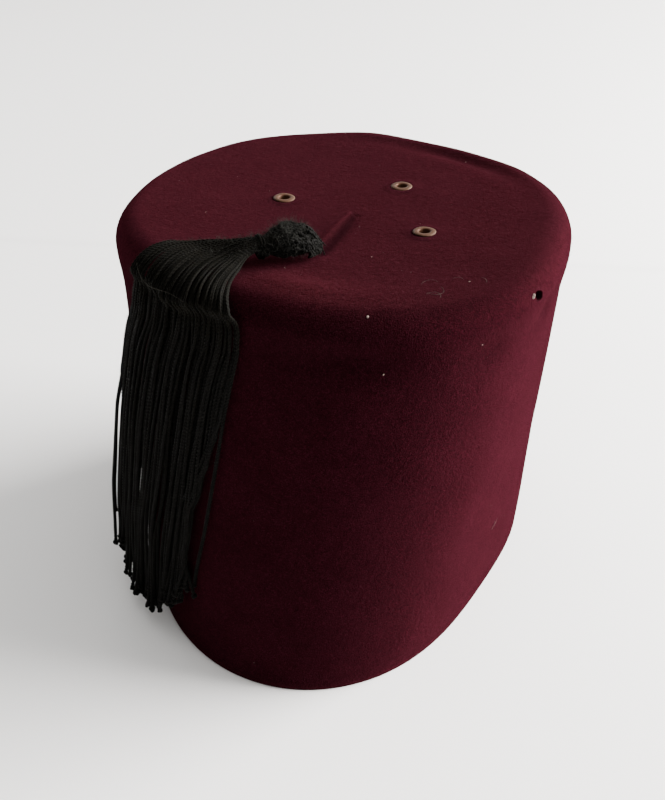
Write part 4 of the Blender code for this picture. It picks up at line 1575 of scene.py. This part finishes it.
class FEZ_OT_tassel_head(bpy.types.Operator):
    """Fold the cords of the tassel's head and bunch them over its core"""

    bl_idname = "fez.tassel_head"
    bl_label = "Tassel head"

    def execute(self, context):
        cord = context.scene.fez.cord
        chance = np.random.default_rng(HEAD_SEED)
        radius = cord.diameter / 2
        material = bpy.data.materials["black_twisted_cord"]
        core = self.core()
        mark_dust_and_shade(core, most=HEAD_DUST_AND_SHADE)
        dress(core, material, "black_cord")
        halves = np.array([0.5, 0.5])
        first, second = tassel_points(np.array([0.0, 1.0]), halves, halves)
        nose = first + (first - second) * 0.33
        routes = []
        for index in range(HEAD_STRANDS):
            start = math.tau * (index + chance.uniform(-0.4, 0.4)) / HEAD_STRANDS
            position = np.linspace(NECK_END - 0.3, HEAD_FIRST, 60)
            swing = 0.55 * wander(index * 3.1, position, 0.9) * np.clip(NECK - position, 0, 1)
            turn = start + 0.9 * (1 - position / NECK_END) + swing
            lift = head_lumps(position, turn) + 0.0006 * wander(index * 5.3, position, 1.3)
            line = head_line(position, turn, lift - STRAND_SINK)
            fold = np.linspace(0, 1, 8)[1:, None] ** 0.7
            rounded = line[-1] * (1 - fold) + first * fold + (nose - first) * np.sin(fold * 1.57)
            routes.append((np.concatenate([line, rounded]), (0.7, 0.9, 0.95, 0.7)))
        for index, place in enumerate(WRAPS):
            turn = np.linspace(0, math.tau, 60)
            position = place + 0.42 * np.sin(turn + 2.1 * index) + 0.10 * np.sin(3 * turn + index)
            lift = head_lumps(position, turn) + 0.0004 * np.sin(2 * turn + index) - WRAP_SINK
            routes.append((head_line(position, turn, lift), (0.8, 0.8)))
        for place, angle, wide, high, first_turn in BIGHTS:
            swing = np.linspace(first_turn, first_turn + 3.9, BIGHT_POINTS)
            position, turn = place + wide * np.cos(swing), angle + high * np.sin(swing)
            lift = head_lumps(position, turn) + 0.0004 * np.cos(swing + 1) - BIGHT_SINK
            lift = lift - 0.0012 * np.linspace(-1, 1, BIGHT_POINTS) ** 4
            routes.append((head_line(position, turn, lift), (0.6, 0.9, 0.6)))
        # Short ends that fray towards the stem
        for index in range(FRAYED_ENDS):
            position = np.linspace(1.1, 0.0, 20)
            turn = 2.0 + 0.35 * index + 0.2 * wander(60 + index, position, 1.5)
            line = head_line(position, turn, np.full(20, 0.0002))
            reach = np.linspace(0, 1, 12)[1:, None]
            end = nose + chance.normal(0, 0.0009, 3) + (nose - first) * chance.uniform(0.2, 0.9)
            end[2] = max(end[2], felt_point(277.0, 0.45)[2] + 0.0008)
            line = np.concatenate([line, line[-1] * (1 - reach) + end * reach])
            routes.append((line, (0.8, 0.7, 0.5, 0.25)))
        head = twist_cords("tassel_head", routes, radius, cord.pitch, sides=8, rings=5)
        mark_dust_and_shade(head, most=HEAD_DUST_AND_SHADE)
        dress(head, material, "black_cord")
        return {"FINISHED"}

    def core(self):
        """Lumpy core that fills the head under its cords."""
        deselect_all()
        bpy.ops.mesh.primitive_uv_sphere_add(segments=32, ring_count=24, radius=1.0)
        core = bpy.context.object
        core.name = core.data.name = "tassel_head_core"
        ball = read_points(core.data)
        position = np.interp(ball[:, 2], (-1, 1), (HEAD_FIRST + 0.15, NECK_END - 0.1))
        turn = np.arctan2(ball[:, 1], ball[:, 0]) % math.tau
        ring = head_line(position, turn, head_lumps(position, turn) - CORE_SINK)
        middle = tassel_points(position, np.full(len(ball), 0.5), np.full(len(ball), 0.5))
        share = np.clip(1 - ball[:, 2] ** 2, 0, 1)[:, None] ** 0.3
        write_points(core.data, middle + (ring - middle) * share)
        edit_all(core, lambda: bpy.ops.mesh.normals_make_consistent(inside=False))
        bpy.ops.object.shade_smooth()
        return core


BINDING_TURNS = 6
BINDING_PITCH = 0.0016
STRAY_POINTS = 90
STRAY_RADIUS = 0.00008


class FEZ_OT_tassel_binding(bpy.types.Operator):
    """Wind the binding thread round the neck and lay the stray thread"""

    bl_idname = "fez.tassel_binding"
    bl_label = "Tassel binding"

    def execute(self, context):
        cord = context.scene.fez.cord
        turn = np.linspace(0, BINDING_TURNS * math.tau, BINDING_TURNS * 44)
        weave = 0.09 * np.sin(turn + 1.3 * np.sin(turn / 5))
        position = NECK + 0.20 + 0.60 * turn / turn[-1] + weave
        lift = 0.0001 + 0.00025 * np.sin(2 * turn / BINDING_TURNS)
        routes = [(head_line(position, turn, lift), (1.0, 1.0))]
        binding = twist_cords(
            "tassel_binding_thread", routes, cord.thread / 2, BINDING_PITCH, sides=6, rings=6
        )
        mark_dust_and_shade(binding)
        dress(binding, bpy.data.materials["black_twisted_cord"], "black_cord", "tassel_binding")
        along = np.linspace(0, 1, STRAY_POINTS)
        position = EDGE - 0.10 + 0.30 * along + 0.10 * np.sin(5 * along)
        across = 0.20 + 0.52 * along
        rise = 0.0004 + 1.05 * overhang(position, across)
        stray = tassel_points(position, across, np.ones(STRAY_POINTS), rise=rise)
        thread = round_tubes("stray_thread", [(stray, (0.6, 1.0, 1.0, 0.5))], STRAY_RADIUS)
        finish = fuzz_finish("grey_thread", (0.019, 0.018, 0.015), (0.042, 0.040, 0.035))
        dress(thread, finish, "black_cord")
        return {"FINISHED"}


# Fibres on the head and on the cords, how long they are and how thick
CORD_FUZZ = (3600, 1300)
CORD_FUZZ_LENGTH = 0.0016
CORD_FUZZ_SHORTER = 0.65
CORD_FUZZ_THICKNESS = 0.00008


class FEZ_OT_cord_fuzz(bpy.types.Operator):
    """Stand fine fibres on the tassel's head and cords"""

    bl_idname = "fez.cord_fuzz"
    bl_label = "Cord fuzz"

    def execute(self, context):
        chance = np.random.default_rng(CORD_FUZZ_SEED)
        roots, out = [], []
        for count, low, high in zip(CORD_FUZZ, (0.0, NECK_END), (NECK_END, LAST - 1)):
            position = chance.uniform(low, high, count)
            turn = chance.uniform(-0.25, 1.25, count) * math.pi
            if low:
                turn = chance.uniform(0, 1, count) * math.pi
            lift = (head_lumps(position, turn) - 0.0010) * (low == 0) - 0.0002
            here = head_line(position, turn, lift)
            inner = tassel_points(position, np.full(count, 0.5), np.full(count, 0.3))
            roots.append(here)
            away = here - inner
            away /= np.linalg.norm(away, axis=1, keepdims=True)
            away = away + chance.normal(0, 0.8, (count, 3))
            out.append(away / np.linalg.norm(away, axis=1, keepdims=True))
        roots, out = np.concatenate(roots), np.concatenate(out)
        lengths = CORD_FUZZ_LENGTH * chance.uniform(0.4, 1.8, len(roots))
        lengths[CORD_FUZZ[0]:] *= CORD_FUZZ_SHORTER
        fuzz = fibre_piece("tassel_fuzz", roots, out, lengths, CORD_FUZZ_THICKNESS, chance)
        finish = fuzz_finish("loose_cord_fibres", (0.007, 0.007, 0.006), (0.042, 0.042, 0.037))
        dress(fuzz, finish, "black_cord")
        return {"FINISHED"}


# Studio

CAMERA_PLACE = (0.11125, -0.32298, 0.28927)
CAMERA_VIEW = (-0.2778, 0.78638, -0.55176)
CAMERA_LENS = 42.75
ROOM_BRIGHT_SIDE = (0.45, 0.75, 0.48)
FLOOR_RADIUS = 4.0
SENSOR_WIDTH = 36.0
SEEN_BACKDROP = 1.9
# Soft square lights: name, place, what they face, size in metres, colour and spread in degrees
LIGHTS = (
    ("key", (2.05, 1.20, 0.98), (0, 0, 0.06), 1.9, (1.0, 0.975, 0.96), 180.0),
    ("back", (-1.3, 1.0, 1.5), (0, 0, 0.08), 1.4, (1.0, 0.985, 0.97), 180.0),
    ("top", (0.2, 0.3, 2.4), (0, 0, 0), 1.9, (1.0, 0.985, 0.97), 180.0),
    ("floor", (0.88, 0.42, 1.2), (0.88, 0.42, 0), 0.8, (1.0, 0.98, 0.97), 62.0),
)


def face_way(piece, place, way):
    """Set an object at a place, with its -Z along a way."""
    piece.location = place
    piece.rotation_euler = Vector(way).to_track_quat("-Z", "Y").to_euler()


def studio_room(studio):
    """Room light, soft and brightest towards the white backdrop at the back right."""
    world = bpy.data.worlds.new("studio_room")
    world.use_nodes = True
    tree = world.node_tree
    lit = tree.nodes["Background"]
    lit.inputs["Color"].default_value = (1.0, 0.99, 0.98, 1.0)
    way = add_node(tree, "ShaderNodeTexCoord").outputs["Generated"]
    facing = add_node(
        tree, "ShaderNodeVectorMath", {0: way, 1: ROOM_BRIGHT_SIDE}, operation="DOT_PRODUCT"
    ).outputs["Value"]
    strength = smooth_range(tree, facing, -0.6, 0.9, studio.room_low, studio.room_high)
    tree.links.new(strength, lit.inputs["Strength"])
    plain = add_node(
        tree, "ShaderNodeBackground",
        {"Color": (0.90, 0.895, 0.885, 1.0), "Strength": SEEN_BACKDROP},
    )
    seen = add_node(tree, "ShaderNodeLightPath").outputs["Is Camera Ray"]
    mix = add_node(
        tree, "ShaderNodeMixShader",
        {0: seen, 1: lit.outputs["Background"], 2: plain.outputs["Background"]},
    )
    tree.links.new(mix.outputs["Shader"], tree.nodes["World Output"].inputs["Surface"])
    return world


class FEZ_OT_studio(bpy.types.Operator):
    """Set the pale floor, the soft lights and the camera"""

    bl_idname = "fez.studio"
    bl_label = "Studio"

    def execute(self, context):
        studio = context.scene.fez.studio
        deselect_all()
        bpy.ops.mesh.primitive_circle_add(vertices=96, radius=FLOOR_RADIUS, fill_type="NGON")
        floor = bpy.context.object
        floor.name = floor.data.name = "studio_floor"
        floor.data.materials.append(floor_finish(studio))
        for name, place, target, size, colour, spread in LIGHTS:
            data = bpy.data.lights.new(name + "_light", "AREA")
            data.energy = getattr(studio, name + "_power")
            data.size = size
            data.color = colour
            data.spread = math.radians(spread)
            light = new_object(name + "_light", data)
            face_way(light, place, Vector(target) - Vector(place))
        context.scene.world = studio_room(studio)
        data = bpy.data.cameras.new("camera")
        data.lens = CAMERA_LENS
        data.sensor_width = SENSOR_WIDTH
        camera = new_object("camera", data)
        face_way(camera, CAMERA_PLACE, CAMERA_VIEW)
        context.scene.camera = camera
        return {"FINISHED"}


class FEZ_PT_panel(bpy.types.Panel):
    """Buttons and settings of the hat"""

    bl_idname = "FEZ_PT_panel"
    bl_label = "Fez"
    bl_space_type = "VIEW_3D"
    bl_region_type = "UI"
    bl_category = "Fez"

    def draw(self, context):
        layout = self.layout
        for operator in OPERATORS:
            layout.operator(operator.bl_idname, text=operator.bl_label)
        for part in ("felt", "cord", "brass", "studio"):
            group = getattr(context.scene.fez, part)
            box = layout.box()
            box.label(text=part.title())
            for setting in group.bl_rna.properties:
                if setting.identifier not in {"rna_type", "name"}:
                    box.prop(group, setting.identifier)


OPERATORS = (
    FEZ_OT_felt_cap,
    FEZ_OT_felt_fuzz,
    FEZ_OT_lint,
    FEZ_OT_eyelets,
    FEZ_OT_tassel_cords,
    FEZ_OT_tassel_head,
    FEZ_OT_tassel_binding,
    FEZ_OT_cord_fuzz,
    FEZ_OT_studio,
)
CLASSES = (FezFelt, FezCord, FezBrass, FezStudio, FezSettings, *OPERATORS, FEZ_PT_panel)


def register():
    """Register the classes and the hat's settings."""
    for cls in CLASSES:
        bpy.utils.register_class(cls)
    bpy.types.Scene.fez = bpy.props.PointerProperty(
        type=FezSettings, name="Fez", description="Settings of the hat"
    )


def unregister():
    """Take the classes and the settings away again."""
    del bpy.types.Scene.fez
    for cls in reversed(CLASSES):
        bpy.utils.unregister_class(cls)


def main():
    """Build the hat and its studio."""
    register()
    bpy.ops.fez.felt_cap()
    bpy.ops.fez.felt_fuzz()
    bpy.ops.fez.lint()
    bpy.ops.fez.eyelets()
    bpy.ops.fez.tassel_cords()
    bpy.ops.fez.tassel_head()
    bpy.ops.fez.tassel_binding()
    bpy.ops.fez.cord_fuzz()
    bpy.ops.fez.studio()


if __name__ == "__main__":
    main()
